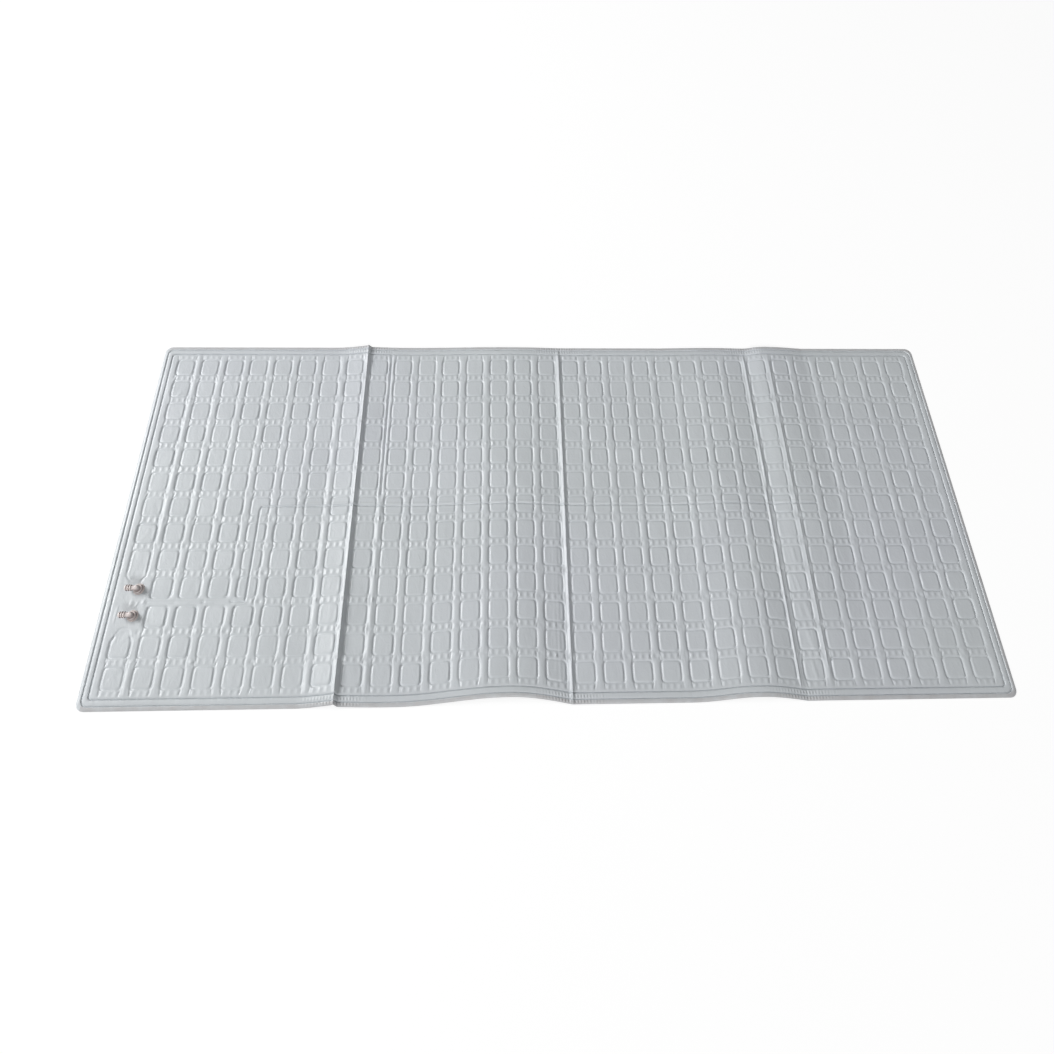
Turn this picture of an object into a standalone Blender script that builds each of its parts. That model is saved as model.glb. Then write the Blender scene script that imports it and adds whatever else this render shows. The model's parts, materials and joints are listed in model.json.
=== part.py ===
"""Water cooling mattress pad: two welded films with embossed water channels and two hose elbows.

The frame has +Z up, +X along the pad's length and +Y towards its back edge. The origin lies under
the middle of the pad, on the surface that it rests on. All sizes are in metres.
"""
import math

import bmesh
import bpy
from mathutils import Matrix, Vector

MM = 0.001

# Pad outline and pattern
PAD_LENGTH = 1600 * MM
PAD_WIDTH = 700 * MM
EDGE_MARGIN = 25 * MM
TILE_PITCH = 50 * MM
CHANNEL_WIDTH = 15 * MM
FLANGE_WIDTH = 5 * MM
BEAD_WIDTH = 9 * MM
FOLDED_COLUMNS = 8
CREASES = 3

# Film layers
LOWER_FILM = 0.6 * MM
UPPER_FILM = 0.9 * MM
FILM_GAP = 0.3 * MM
CHANNEL_RISE = 1.6 * MM
BEAD_RISE = 1.2 * MM
TILE_RECESS = 1.3 * MM
TILE_SLOPE = 3 * MM
CREASE_GAP = 0.4 * MM
BOTTOM_BANDS = 3

# Divider weld that sends the water out along one half of the pad and back along the other
DIVIDER_LINE = 4 * MM
DIVIDER_ROW = 6
DIVIDER_FIRST_COLUMN = 4
DIVIDER_LAST_COLUMN = 25

# Folds that stay in the sheet after it was packed
WAVE_HEIGHT = 28 * MM
WAVE_RUN = 100 * MM
HEM_DRAW_SHARE = 0.25
SHARP, ROUND = 0, 1
# Crease, then as shares: crest from the crease, run before, run after, front and back height
WAVE_SHARES = (
    (0, 0.00, 0.90, 0.45, 0.68, 0.52, SHARP),
    (1, -1.05, 1.30, 1.05, 1.00, 0.18, ROUND),
    (2, -0.55, 1.05, 0.75, 0.75, 0.10, ROUND),
    (2, 0.42, 0.42, 0.90, 0.04, 0.32, ROUND),
)

# Ports: the two fittings stand in these rows, a little right of the middle of the first column
PORT_ROWS = {"outlet": 2, "inlet": 3}
PORT_SHIFT = 10 * MM
PORT_SPACING = 46 * MM
FILM_HOLE_RADIUS = 3.6 * MM

# Welded flange of a port
FLANGE_RADIUS = 10 * MM
FLANGE_THICKNESS = 1.2 * MM
BOSS_RADIUS = 6.2 * MM
BOSS_HEIGHT = 2.8 * MM
BOSS_BORE_RADIUS = 4.6 * MM
SEAT_THICKNESS = 1 * MM
SEAT_BORE_RADIUS = 2.4 * MM
SNAP_RIB = 0.4 * MM

# Running clearances inside a port
CLEARANCE = 0.3 * MM

# Elbow: stem, shoulder, post and barbed spigot
STEM_BORE_RADIUS = 2.1 * MM
RING_GROOVE_DEPTH = 1.3 * MM
RING_GROOVE_HEIGHT = 1.6 * MM
RING_GROOVE_RISE = 0.8 * MM
SHOULDER_RADIUS = 5.9 * MM
SHOULDER_THICKNESS = 1 * MM
POST_RADIUS = 4.6 * MM
SPIGOT_REACH = 20 * MM
SPIGOT_RADIUS = 3.9 * MM
SPIGOT_TIP_RADIUS = 3.4 * MM
BARB_RADIUS = 5 * MM
BARB_LENGTH = 3.8 * MM
BARBS = 3

# Collar that snaps over the boss and holds the elbow's shoulder down
COLLAR_WALL = 1.1 * MM
COLLAR_LIP = 0.8 * MM
GRIP_FLUTES = 12
GRIP_FLUTE_RADIUS = 0.5 * MM

# Sealing ring
RING_SECTION_RADIUS = 0.5 * MM

CUT_OVERRUN = 1 * MM
HINGE_MARK = 20 * MM
ROUND_STEPS = 24
BORE_STEPS = 12
RING_STEPS = 6
FILM_HOLE_STEPS = 8
WELD_DISTANCE = 0.001 * MM
FLAT_ANGLE = math.radians(0.1)

HALF_LENGTH = PAD_LENGTH / 2
HALF_WIDTH = PAD_WIDTH / 2
COLUMNS = round((PAD_LENGTH - 2 * EDGE_MARGIN) / TILE_PITCH)
ROWS = round((PAD_WIDTH - 2 * EDGE_MARGIN) / TILE_PITCH)
COLUMN_PITCH = (PAD_LENGTH - 2 * EDGE_MARGIN) / COLUMNS
ROW_PITCH = (PAD_WIDTH - 2 * EDGE_MARGIN) / ROWS
CORNER_RADIUS = EDGE_MARGIN + CHANNEL_WIDTH / 2
BORDER_OFFSETS = (0, FLANGE_WIDTH, FLANGE_WIDTH + BEAD_WIDTH / 2, FLANGE_WIDTH + BEAD_WIDTH)

UPPER_BASE = LOWER_FILM + FILM_GAP
WELD_LEVEL = UPPER_BASE + UPPER_FILM
CHANNEL_LEVEL = WELD_LEVEL + CHANNEL_RISE
BORDER_LEVELS = (WELD_LEVEL, WELD_LEVEL, WELD_LEVEL + BEAD_RISE, WELD_LEVEL)

FLANGE_BASE = CHANNEL_LEVEL + CLEARANCE
BOSS_TOP = FLANGE_BASE + FLANGE_THICKNESS + BOSS_HEIGHT
SEAT_TOP = FLANGE_BASE + SEAT_THICKNESS
STEM_RADIUS = BOSS_BORE_RADIUS - CLEARANCE
STEM_FOOT = SEAT_TOP + CLEARANCE
SHOULDER_BASE = BOSS_TOP + CLEARANCE
SHOULDER_TOP = SHOULDER_BASE + SHOULDER_THICKNESS
COLLAR_LIP_BASE = SHOULDER_TOP + CLEARANCE
COLLAR_TOP = COLLAR_LIP_BASE + COLLAR_LIP
COLLAR_BASE = FLANGE_BASE + FLANGE_THICKNESS + CLEARANCE
COLLAR_BORE_RADIUS = BOSS_RADIUS + SNAP_RIB + CLEARANCE
COLLAR_RADIUS = COLLAR_BORE_RADIUS + COLLAR_WALL
SPIGOT_AXIS = COLLAR_TOP + CLEARANCE + SPIGOT_RADIUS
POST_TOP = SPIGOT_AXIS + SPIGOT_RADIUS + STEM_BORE_RADIUS / 2

model = bpy.data.collections.new("water_cooling_mattress_pad")
cutters = bpy.data.collections.new("cutters")


def clear_scene():
    """Remove the objects that a new file holds."""
    for old in list(bpy.context.scene.objects):
        bpy.data.objects.remove(old, do_unlink=True)


def make_material(name, colour, roughness):
    """Return a Principled material with one plain colour."""
    material = bpy.data.materials.new(name)
    material.use_nodes = True
    shader = material.node_tree.nodes["Principled BSDF"]
    shader.inputs["Base Color"].default_value = (*colour, 1)
    shader.inputs["Roughness"].default_value = roughness
    shader.inputs["Metallic"].default_value = 0
    material.diffuse_color = (*colour, 1)
    return material


def add_object(name, mesh, material):
    """Link a mesh into the model's collection."""
    piece = bpy.data.objects.new(name, mesh)
    mesh.materials.append(material)
    model.objects.link(piece)
    return piece


def mesh_from(bm, name):
    """Turn a bmesh into a mesh and free it."""
    mesh = bpy.data.meshes.new(name)
    bm.to_mesh(mesh)
    bm.free()
    return mesh


def column_edge(column):
    """X of the left boundary of a pattern cell."""
    return EDGE_MARGIN - HALF_LENGTH + column * COLUMN_PITCH


def row_edge(row):
    """Y of the front boundary of a pattern cell, row 0 being the front one."""
    return EDGE_MARGIN - HALF_WIDTH + row * ROW_PITCH


def column_centre(column):
    """X of the middle of a pattern cell."""
    return column_edge(column) + COLUMN_PITCH / 2


def row_centre(row):
    """Y of the middle of a pattern cell."""
    return row_edge(row) + ROW_PITCH / 2


def crease_x(crease):
    """X of a fold line; the folds lie in channels between two columns."""
    return column_edge((crease + 1) * FOLDED_COLUMNS)


def wave_profile(distance, before, after, style):
    """Height share of one wave at a signed distance from its crest."""
    along = -distance / before if distance < 0 else distance / after
    if along >= 1:
        return 0
    if style == SHARP:
        return (1 - along) ** 2
    if distance < 0:
        return (1 + math.cos(math.pi * along)) / 2
    return math.cos(math.pi * along / 2)


def fold_height(x, back_share):
    """How far the sheet stands off the ground at x, from its front edge (0) to its back edge (1)."""
    height = 0
    for crease, shift, before, after, front, back, style in WAVE_SHARES:
        crest = crease_x(crease) + shift * WAVE_RUN
        size = front + (back - front) * back_share
        profile = wave_profile(x - crest, before * WAVE_RUN, after * WAVE_RUN, style)
        height += size * profile * WAVE_HEIGHT
    return height


def drape(bm):
    """Lay a flat layer over the folds that stay in the sheet."""
    for vert in bm.verts:
        back_share = (vert.co.y + HALF_WIDTH) / PAD_WIDTH
        height = fold_height(vert.co.x, back_share)
        vert.co.y += HEM_DRAW_SHARE * height * (1 - back_share) ** 2
        vert.co.z += height


def tile_lines(first, last, edge_of):
    """Both edges of every tile from one cell to another along one direction."""
    lines = []
    for cell in range(first, last):
        lines.append(edge_of(cell) + CHANNEL_WIDTH / 2)
        lines.append(edge_of(cell + 1) - CHANNEL_WIDTH / 2)
    return lines


def panel_columns(panel):
    """First and last pattern column of one panel."""
    first = panel * FOLDED_COLUMNS
    last = COLUMNS if panel == CREASES else first + FOLDED_COLUMNS
    return first, last


def panel_ends(panel):
    """X of a panel's two ends, half a gap short of each fold line."""
    left = -HALF_LENGTH if panel == 0 else crease_x(panel - 1) + CREASE_GAP / 2
    right = HALF_LENGTH if panel == CREASES else crease_x(panel) - CREASE_GAP / 2
    return left, right


def fine_lines(panel):
    """Grid lines of a panel's embossed face, with the border's rings at the pad's own edges."""
    left, right = panel_ends(panel)
    across = tile_lines(*panel_columns(panel), column_edge)
    starts = [left + offset for offset in BORDER_OFFSETS] if panel == 0 else [left]
    ends = [right - offset for offset in reversed(BORDER_OFFSETS)] if panel == CREASES else [right]
    front = [offset - HALF_WIDTH for offset in BORDER_OFFSETS]
    back = [HALF_WIDTH - offset for offset in reversed(BORDER_OFFSETS)]
    return starts + across + ends, front + tile_lines(0, ROWS, row_edge) + back


def coarse_lines(panel):
    """Grid lines of the plain faces, which follow the folds but not the pattern."""
    left, right = panel_ends(panel)
    across = tile_lines(*panel_columns(panel), column_edge)
    inner = PAD_WIDTH - 2 * CORNER_RADIUS
    bands = [CORNER_RADIUS - HALF_WIDTH + inner * band / BOTTOM_BANDS for band in range(BOTTOM_BANDS + 1)]
    return [left] + across + [right], [-HALF_WIDTH] + bands + [HALF_WIDTH]


def corner_place(i, j, rings):
    """Distance from the pad's two edges of a grid point in a corner, on rings round one centre."""
    ring = min(i, j)
    radius = CORNER_RADIUS - (BORDER_OFFSETS[ring] if ring < rings else CORNER_RADIUS)
    steps = max(rings - ring, 1)
    turn = (rings - j) / steps if i <= j else 2 - (rings - i) / steps
    angle = turn * math.pi / 4
    return CORNER_RADIUS - radius * math.cos(angle), CORNER_RADIUS - radius * math.sin(angle)


def make_grid(x_lines, y_lines):
    """A flat grid through the given lines; returns it with each vertex's line numbers."""
    bm = bmesh.new()
    columns, rows = len(x_lines) - 1, len(y_lines) - 1
    bmesh.ops.create_grid(bm, x_segments=columns, y_segments=rows, size=1)
    places = {}
    for vert in bm.verts:
        i = round((vert.co.x + 1) / 2 * columns)
        j = round((vert.co.y + 1) / 2 * rows)
        vert.co = (x_lines[i], y_lines[j], 0)
        places[vert] = (i, j)
    return bm, places


def shape_embossing(bm, places, panel, x_count, y_count):
    """Lift the channels and the border bead, and round the pad's corners."""
    rings = len(BORDER_OFFSETS)
    for vert, (i, j) in places.items():
        from_left = i if panel == 0 else rings
        from_right = x_count - 1 - i if panel == CREASES else rings
        side = min(from_left, from_right)
        end = min(j, y_count - 1 - j)
        ring = min(side, end)
        vert.co.z = BORDER_LEVELS[ring] if ring < rings else CHANNEL_LEVEL
        if side < rings and end < rings:
            from_x, from_y = corner_place(side, end, rings)
            vert.co.x = math.copysign(HALF_LENGTH - from_x, vert.co.x)
            vert.co.y = math.copysign(HALF_WIDTH - from_y, vert.co.y)


def cell_of(point):
    """Pattern cell under a point, and whether the point is on its tile along X and along Y."""
    column = (point.x + HALF_LENGTH - EDGE_MARGIN) / COLUMN_PITCH
    row = (point.y + HALF_WIDTH - EDGE_MARGIN) / ROW_PITCH
    on_x = abs(column % 1 - 0.5) * COLUMN_PITCH < (COLUMN_PITCH - CHANNEL_WIDTH) / 2
    on_y = abs(row % 1 - 0.5) * ROW_PITCH < (ROW_PITCH - CHANNEL_WIDTH) / 2
    return math.floor(column), math.floor(row), on_x, on_y


def is_tile(point):
    """True on a tile that is neither split by the divider nor left out under a port."""
    column, row, on_x, on_y = cell_of(point)
    inside = on_x and on_y and 0 <= column < COLUMNS and 0 <= row < ROWS
    under_port = column == 0 and row in PORT_ROWS.values()
    return inside and not under_port and not is_split_tile(point)


def is_split_along(point):
    """True on a tile that the divider splits on its way along the pad's length."""
    column, row, on_x, on_y = cell_of(point)
    return on_x and on_y and row == DIVIDER_ROW and DIVIDER_FIRST_COLUMN <= column <= DIVIDER_LAST_COLUMN


def is_split_across(point):
    """True on a tile that the divider splits on its way across the pad."""
    column, row, on_x, on_y = cell_of(point)
    return on_x and on_y and column == DIVIDER_FIRST_COLUMN and PORT_ROWS["inlet"] <= row < DIVIDER_ROW


def is_split_tile(point):
    """True on either half of a tile that the divider splits."""
    return is_split_along(point) or is_split_across(point)


def on_port_divider(point):
    """True in the channel that runs between the two ports as far as the divider's first turn."""
    _, _, _, on_y = cell_of(point)
    between = abs(point.y - row_edge(PORT_ROWS["inlet"])) < CHANNEL_WIDTH / 2
    turn_end = column_edge(DIVIDER_FIRST_COLUMN + 1) - CHANNEL_WIDTH / 2
    return between and not on_y and column_edge(1) < point.x < turn_end


def split_faces(bm, chosen, place, direction):
    """Cut only the chosen faces with a plane."""
    faces = chosen_faces(bm, chosen)
    edges = {edge for face in faces for edge in face.edges}
    verts = {vert for face in faces for vert in face.verts}
    geometry = list(verts) + list(edges) + faces
    bmesh.ops.bisect_plane(bm, geom=geometry, plane_co=place, plane_no=direction)


def split_divided_tiles(bm):
    """Split the tiles that the divider crosses into two halves."""
    split_faces(bm, is_split_along, (0, row_centre(DIVIDER_ROW), 0), (0, 1, 0))
    split_faces(bm, is_split_across, (column_centre(DIVIDER_FIRST_COLUMN), 0, 0), (1, 0, 0))


def chosen_faces(bm, chosen):
    """The faces whose middle passes a test."""
    return [face for face in bm.faces if chosen(face.calc_center_median())]


def sink_tiles(bm):
    """Press the tiles down inside sloped edges, each half of a split tile by itself."""
    bmesh.ops.inset_region(bm, faces=chosen_faces(bm, is_tile), use_boundary=True,
                           use_even_offset=True, thickness=TILE_SLOPE, depth=-TILE_RECESS)
    halves = chosen_faces(bm, is_split_tile)
    if halves:
        bmesh.ops.inset_individual(bm, faces=halves, use_even_offset=True,
                                   thickness=TILE_SLOPE, depth=-TILE_RECESS)
    weld = chosen_faces(bm, on_port_divider)
    if weld:
        bmesh.ops.inset_region(bm, faces=weld, use_boundary=True, use_even_offset=True,
                               thickness=(CHANNEL_WIDTH - DIVIDER_LINE) / 2, depth=-TILE_RECESS)


def outline_of(bm):
    """The boundary vertices in order, anticlockwise, from the corner at the front crease."""
    edges = [edge for edge in bm.edges if edge.is_boundary]
    follow = {}
    for edge in edges:
        loop = edge.link_loops[0]
        follow[loop.vert] = loop.link_loop_next.vert
    start = min(follow, key=start_rank)
    order = [start]
    while follow[order[-1]] is not start:
        order.append(follow[order[-1]])
    return order


def start_rank(vert):
    """Smallest at the front end of a crease, the left one of two, where both outlines have a vertex."""
    from_crease = min(abs(vert.co.x - crease_x(crease)) for crease in range(CREASES))
    return round((from_crease + vert.co.y) / WELD_DISTANCE), vert.co.x


def along_outline(order):
    """Share of the outline's length at each vertex, seen from above."""
    lengths = [0]
    for here, ahead in zip(order, order[1:] + order[:1]):
        lengths.append(lengths[-1] + (ahead.co.xy - here.co.xy).length)
    return [length / lengths[-1] for length in lengths]


def join_outlines(bm, upper, lower):
    """Close the gap between two outlines of unlike point counts with a wall of triangles."""
    upper_share, lower_share = along_outline(upper), along_outline(lower)
    upper, lower = upper + upper[:1], lower + lower[:1]
    i = j = 0
    while i < len(upper) - 1 or j < len(lower) - 1:
        step_upper = j == len(lower) - 1
        if not step_upper and i < len(upper) - 1:
            step_upper = upper_share[i + 1] <= lower_share[j + 1]
        if step_upper:
            bm.faces.new((upper[i], lower[j], upper[i + 1]))
            i += 1
        else:
            bm.faces.new((upper[i], lower[j], lower[j + 1]))
            j += 1


def round_corners(bm):
    """Round the corners of a coarse layer where it meets the pad's own outline."""
    corners = [vert for vert in bm.verts
               if abs(abs(vert.co.x) - HALF_LENGTH) < WELD_DISTANCE
               and abs(abs(vert.co.y) - HALF_WIDTH) < WELD_DISTANCE]
    if corners:
        steps = 2 * len(BORDER_OFFSETS)
        bmesh.ops.bevel(bm, geom=corners, affect="VERTICES", offset=CORNER_RADIUS,
                        offset_type="OFFSET", segments=steps, profile=0.5, clamp_overlap=False)
        bmesh.ops.remove_doubles(bm, verts=bm.verts, dist=WELD_DISTANCE)


def coarse_layer(panel, level):
    """A plain layer of a panel at one height; all such layers share their diagonals."""
    bm, _ = make_grid(*coarse_lines(panel))
    round_corners(bm)
    bmesh.ops.triangulate(bm, faces=bm.faces)
    for vert in bm.verts:
        vert.co.z = level
    return bm


def clear_border_lines(bm, panel):
    """Drop the cross lines in the plain strips along the creases and the pad's two ends."""
    first, last = panel_columns(panel)
    strip_end = column_edge(first) + CHANNEL_WIDTH / 2
    strip_start = column_edge(last) - CHANNEL_WIDTH / 2
    strays = []
    for edge in bm.edges:
        here, ahead = (vert.co for vert in edge.verts)
        across = abs(here.y - ahead.y) < WELD_DISTANCE
        between_corners = abs(here.y) < HALF_WIDTH - CORNER_RADIUS - WELD_DISTANCE
        middle = (here.x + ahead.x) / 2
        if across and between_corners and not strip_end < middle < strip_start:
            strays.append(edge)
    bmesh.ops.dissolve_edges(bm, edges=strays, use_verts=True)


def merge_flat_faces(bm, faces):
    """Merge neighbouring faces of a plain layer that lie in one plane."""
    bm.normal_update()
    edges = [edge for edge in bm.edges if len(edge.link_faces) == 2 and set(edge.link_faces) <= faces]
    verts = {vert for face in faces for vert in face.verts}
    bmesh.ops.dissolve_limit(bm, angle_limit=FLAT_ANGLE, use_dissolve_boundaries=False,
                             verts=list(verts), edges=edges)


def upper_film(panel, material):
    """Embossed upper film of one panel."""
    x_lines, y_lines = fine_lines(panel)
    bm, places = make_grid(x_lines, y_lines)
    shape_embossing(bm, places, panel, len(x_lines), len(y_lines))
    clear_border_lines(bm, panel)
    split_divided_tiles(bm)
    sink_tiles(bm)
    border_y = HALF_WIDTH - BORDER_OFFSETS[-1] - WELD_DISTANCE
    plain = {face for face in bm.faces if all(abs(vert.co.y) > border_y for vert in face.verts)}
    upper = outline_of(bm)
    under = coarse_layer(panel, UPPER_BASE)
    lower = outline_of(under)
    twins = {vert: bm.verts.new(vert.co) for vert in under.verts}
    plain |= {bm.faces.new([twins[vert] for vert in reversed(face.verts)]) for face in under.faces}
    join_outlines(bm, upper, [twins[vert] for vert in lower])
    under.free()
    drape(bm)
    merge_flat_faces(bm, plain)
    bmesh.ops.recalc_face_normals(bm, faces=bm.faces)
    name = f"upper_film_panel_{panel + 1}"
    return add_object(name, mesh_from(bm, name), material)


def lower_film(panel, material):
    """Plain lower film of one panel."""
    bm = coarse_layer(panel, 0)
    copied = bmesh.ops.extrude_face_region(bm, geom=bm.faces[:], use_keep_orig=True)["geom"]
    for vert in (item for item in copied if isinstance(item, bmesh.types.BMVert)):
        vert.co.z = LOWER_FILM
    drape(bm)
    merge_flat_faces(bm, set(bm.faces))
    bmesh.ops.recalc_face_normals(bm, faces=bm.faces)
    name = f"lower_film_panel_{panel + 1}"
    return add_object(name, mesh_from(bm, name), material)


def add_turned(name, profile, material=None, closed=True, steps=ROUND_STEPS):
    """Turn a profile of (radius, height) points, listed up its outer side, about the Z axis."""
    bm = bmesh.new()
    verts = [bm.verts.new((radius, 0, height)) for radius, height in reversed(profile)]
    ends = verts[1:] + verts[:1] if closed else verts[1:]
    for pair in zip(verts, ends):
        bm.edges.new(pair)
    mesh = mesh_from(bm, name)
    piece = bpy.data.objects.new(name, mesh)
    if material:
        mesh.materials.append(material)
        model.objects.link(piece)
    else:
        hide_cutter(piece)
    turn = piece.modifiers.new("turn", "SCREW")
    turn.axis = "Z"
    turn.angle = 2 * math.pi
    turn.steps = steps
    turn.render_steps = steps
    turn.use_merge_vertices = True
    turn.merge_threshold = WELD_DISTANCE
    turn.use_smooth_shade = True
    return piece


def hide_cutter(piece):
    """Keep a cutter or a guide out of the model."""
    piece.hide_render = True
    piece.display_type = "WIRE"
    cutters.objects.link(piece)


def make_cutter(name, radius, start, end, steps=BORE_STEPS):
    """A hidden cylinder from one point to another, for a bore."""
    bm = bmesh.new()
    axis = Vector(end) - Vector(start)
    turn = axis.to_track_quat("Z", "Y").to_matrix().to_4x4()
    place = Matrix.Translation((Vector(start) + Vector(end)) / 2) @ turn
    bmesh.ops.create_cone(bm, cap_ends=True, segments=steps, radius1=radius, radius2=radius,
                          depth=axis.length, matrix=place)
    cutter = bpy.data.objects.new(name, mesh_from(bm, name))
    hide_cutter(cutter)
    return cutter


def apply_boolean(piece, other, operation):
    """Add an exact Boolean to a piece."""
    cut = piece.modifiers.new(f"{operation.lower()}_{other.name}", "BOOLEAN")
    cut.operation = operation
    cut.solver = "EXACT"
    cut.object = other


def hang_on_axis(name, place, pieces, parent=None):
    """Hang pieces on an empty at their hinge, without moving them."""
    axis = bpy.data.objects.new(name, None)
    model.objects.link(axis)
    axis.empty_display_size = HINGE_MARK
    axis.parent = parent
    axis.matrix_world = Matrix.Translation(place)
    for piece in pieces:
        piece.parent = axis
        piece.location = -Vector(place)
    return axis


def crease_place(crease):
    """Hinge line of a fold: at the upper face of a ridge, and under the film in a valley."""
    height = max(fold_height(crease_x(crease), 0), fold_height(crease_x(crease), 1))
    return crease_x(crease), 0, 0 if crease % 2 else height + CHANNEL_LEVEL


def port_place(port):
    """Plan position of a port's axis, the ports standing on both sides of their rows' common edge."""
    steps = PORT_ROWS[port] - PORT_ROWS["inlet"] + 1 / 2
    return column_centre(0) + PORT_SHIFT, row_edge(PORT_ROWS["inlet"]) + steps * PORT_SPACING


def make_flange(port, material):
    """Disc welded to the film, with the boss that the elbow's stem turns in."""
    rib_top = BOSS_TOP - COLLAR_LIP
    profile = (
        (SEAT_BORE_RADIUS, FLANGE_BASE),
        (FLANGE_RADIUS, FLANGE_BASE),
        (FLANGE_RADIUS, FLANGE_BASE + FLANGE_THICKNESS / 2),
        (BOSS_RADIUS + FLANGE_THICKNESS, FLANGE_BASE + FLANGE_THICKNESS),
        (BOSS_RADIUS, FLANGE_BASE + FLANGE_THICKNESS),
        (BOSS_RADIUS, rib_top - 2 * SNAP_RIB),
        (BOSS_RADIUS + SNAP_RIB, rib_top - SNAP_RIB),
        (BOSS_RADIUS, rib_top),
        (BOSS_RADIUS, BOSS_TOP),
        (BOSS_BORE_RADIUS, BOSS_TOP),
        (BOSS_BORE_RADIUS, SEAT_TOP),
        (SEAT_BORE_RADIUS, SEAT_TOP),
    )
    piece = add_turned(f"{port}_flange", profile, material)
    piece.location = (*port_place(port), 0)


def stem_profile():
    """Outline of the elbow's stem, shoulder and post, from the foot up to the domed top."""
    groove_base = STEM_FOOT + RING_GROOVE_RISE
    groove_top = groove_base + RING_GROOVE_HEIGHT
    groove_radius = STEM_RADIUS - RING_GROOVE_DEPTH
    return (
        (0, STEM_FOOT),
        (STEM_RADIUS, STEM_FOOT),
        (STEM_RADIUS, groove_base),
        (groove_radius, groove_base),
        (groove_radius, groove_top),
        (STEM_RADIUS, groove_top),
        (STEM_RADIUS, SHOULDER_BASE),
        (SHOULDER_RADIUS, SHOULDER_BASE),
        (SHOULDER_RADIUS, SHOULDER_TOP),
        (POST_RADIUS, SHOULDER_TOP),
        (POST_RADIUS, SPIGOT_AXIS + SPIGOT_RADIUS / 2),
        (POST_RADIUS - STEM_BORE_RADIUS / 2, POST_TOP - STEM_BORE_RADIUS / 4),
        (0, POST_TOP),
    )


def spigot_profile():
    """Outline of the barbed spigot along its own axis, from inside the post to the tip."""
    tip_start = SPIGOT_REACH - BARBS * BARB_LENGTH
    profile = [(0, 0), (SPIGOT_RADIUS, 0), (SPIGOT_RADIUS, tip_start)]
    for barb in range(BARBS):
        base = tip_start + barb * BARB_LENGTH
        profile.append((BARB_RADIUS, base))
        profile.append((SPIGOT_RADIUS if barb < BARBS - 1 else SPIGOT_TIP_RADIUS, base + BARB_LENGTH))
    profile.append((0, SPIGOT_REACH))
    return profile


def make_elbow(port, material):
    """Barbed elbow: a stem with a ring groove, a shoulder, a post and a spigot that points to -X."""
    name = f"{port}_elbow"
    x, y = port_place(port)
    piece = add_turned(name, stem_profile(), material, closed=False)
    piece.location = (x, y, 0)
    spigot = add_turned(f"{name}_spigot", spigot_profile(), closed=False)
    spigot.rotation_euler = (0, -math.pi / 2, 0)
    spigot.location = (x, y, SPIGOT_AXIS)
    apply_boolean(piece, spigot, "UNION")
    foot = (x, y, STEM_FOOT - CUT_OVERRUN)
    bend = (x, y, SPIGOT_AXIS + STEM_BORE_RADIUS)
    mouth = (x - SPIGOT_REACH - CUT_OVERRUN, y, SPIGOT_AXIS)
    inner = (x + STEM_BORE_RADIUS, y, SPIGOT_AXIS)
    apply_boolean(piece, make_cutter(f"{name}_riser", STEM_BORE_RADIUS, foot, bend), "DIFFERENCE")
    apply_boolean(piece, make_cutter(f"{name}_run", STEM_BORE_RADIUS, inner, mouth), "DIFFERENCE")


def make_sealing_ring(port, material):
    """Ring that seals the stem in the boss."""
    name = f"{port}_o_ring"
    x, y = port_place(port)
    ring_radius = STEM_RADIUS - RING_GROOVE_DEPTH + CLEARANCE + RING_SECTION_RADIUS
    height = STEM_FOOT + RING_GROOVE_RISE + RING_GROOVE_HEIGHT / 2
    bpy.ops.mesh.primitive_torus_add(major_segments=ROUND_STEPS, minor_segments=RING_STEPS,
                                     major_radius=ring_radius, minor_radius=RING_SECTION_RADIUS,
                                     location=(x, y, height))
    piece = bpy.context.object
    piece.name = name
    piece.data.name = name
    piece.data.materials.append(material)
    piece.data.shade_smooth()
    for home in list(piece.users_collection):
        home.objects.unlink(piece)
    model.objects.link(piece)


def make_collar(port, material):
    """Ribbed ring that snaps over the boss and traps the elbow's shoulder."""
    name = f"{port}_collar"
    lip_radius = POST_RADIUS + CLEARANCE
    profile = (
        (COLLAR_BORE_RADIUS, COLLAR_BASE),
        (COLLAR_RADIUS, COLLAR_BASE),
        (COLLAR_RADIUS, COLLAR_TOP - COLLAR_LIP / 2),
        (COLLAR_RADIUS - COLLAR_LIP / 2, COLLAR_TOP),
        (lip_radius, COLLAR_TOP),
        (lip_radius, COLLAR_LIP_BASE),
        (COLLAR_BORE_RADIUS, COLLAR_LIP_BASE),
    )
    piece = add_turned(name, profile, material)
    x, y = port_place(port)
    piece.location = (x, y, 0)
    bm = bmesh.new()
    middle = (COLLAR_BASE + COLLAR_TOP) / 2
    for flute in range(GRIP_FLUTES):
        angle = 2 * math.pi * (flute + 0.5) / GRIP_FLUTES
        place = Vector((COLLAR_RADIUS * math.cos(angle), COLLAR_RADIUS * math.sin(angle), middle))
        bmesh.ops.create_cone(bm, cap_ends=True, segments=RING_STEPS, radius1=GRIP_FLUTE_RADIUS,
                              radius2=GRIP_FLUTE_RADIUS, depth=COLLAR_TOP - COLLAR_BASE + 2 * CUT_OVERRUN,
                              matrix=Matrix.Translation(Vector((x, y, 0)) + place))
    flutes = bpy.data.objects.new(f"{name}_flutes", mesh_from(bm, f"{name}_flutes"))
    hide_cutter(flutes)
    apply_boolean(piece, flutes, "DIFFERENCE")


def make_port(port, film, plastic, rubber):
    """One hose port and the hole that it feeds through the upper film."""
    x, y = port_place(port)
    start = (x, y, UPPER_BASE - CUT_OVERRUN)
    end = (x, y, CHANNEL_LEVEL + CUT_OVERRUN)
    hole = make_cutter(f"{port}_film_hole", FILM_HOLE_RADIUS, start, end, steps=FILM_HOLE_STEPS)
    apply_boolean(film, hole, "DIFFERENCE")
    make_flange(port, plastic)
    make_elbow(port, plastic)
    make_sealing_ring(port, rubber)
    make_collar(port, plastic)


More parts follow.
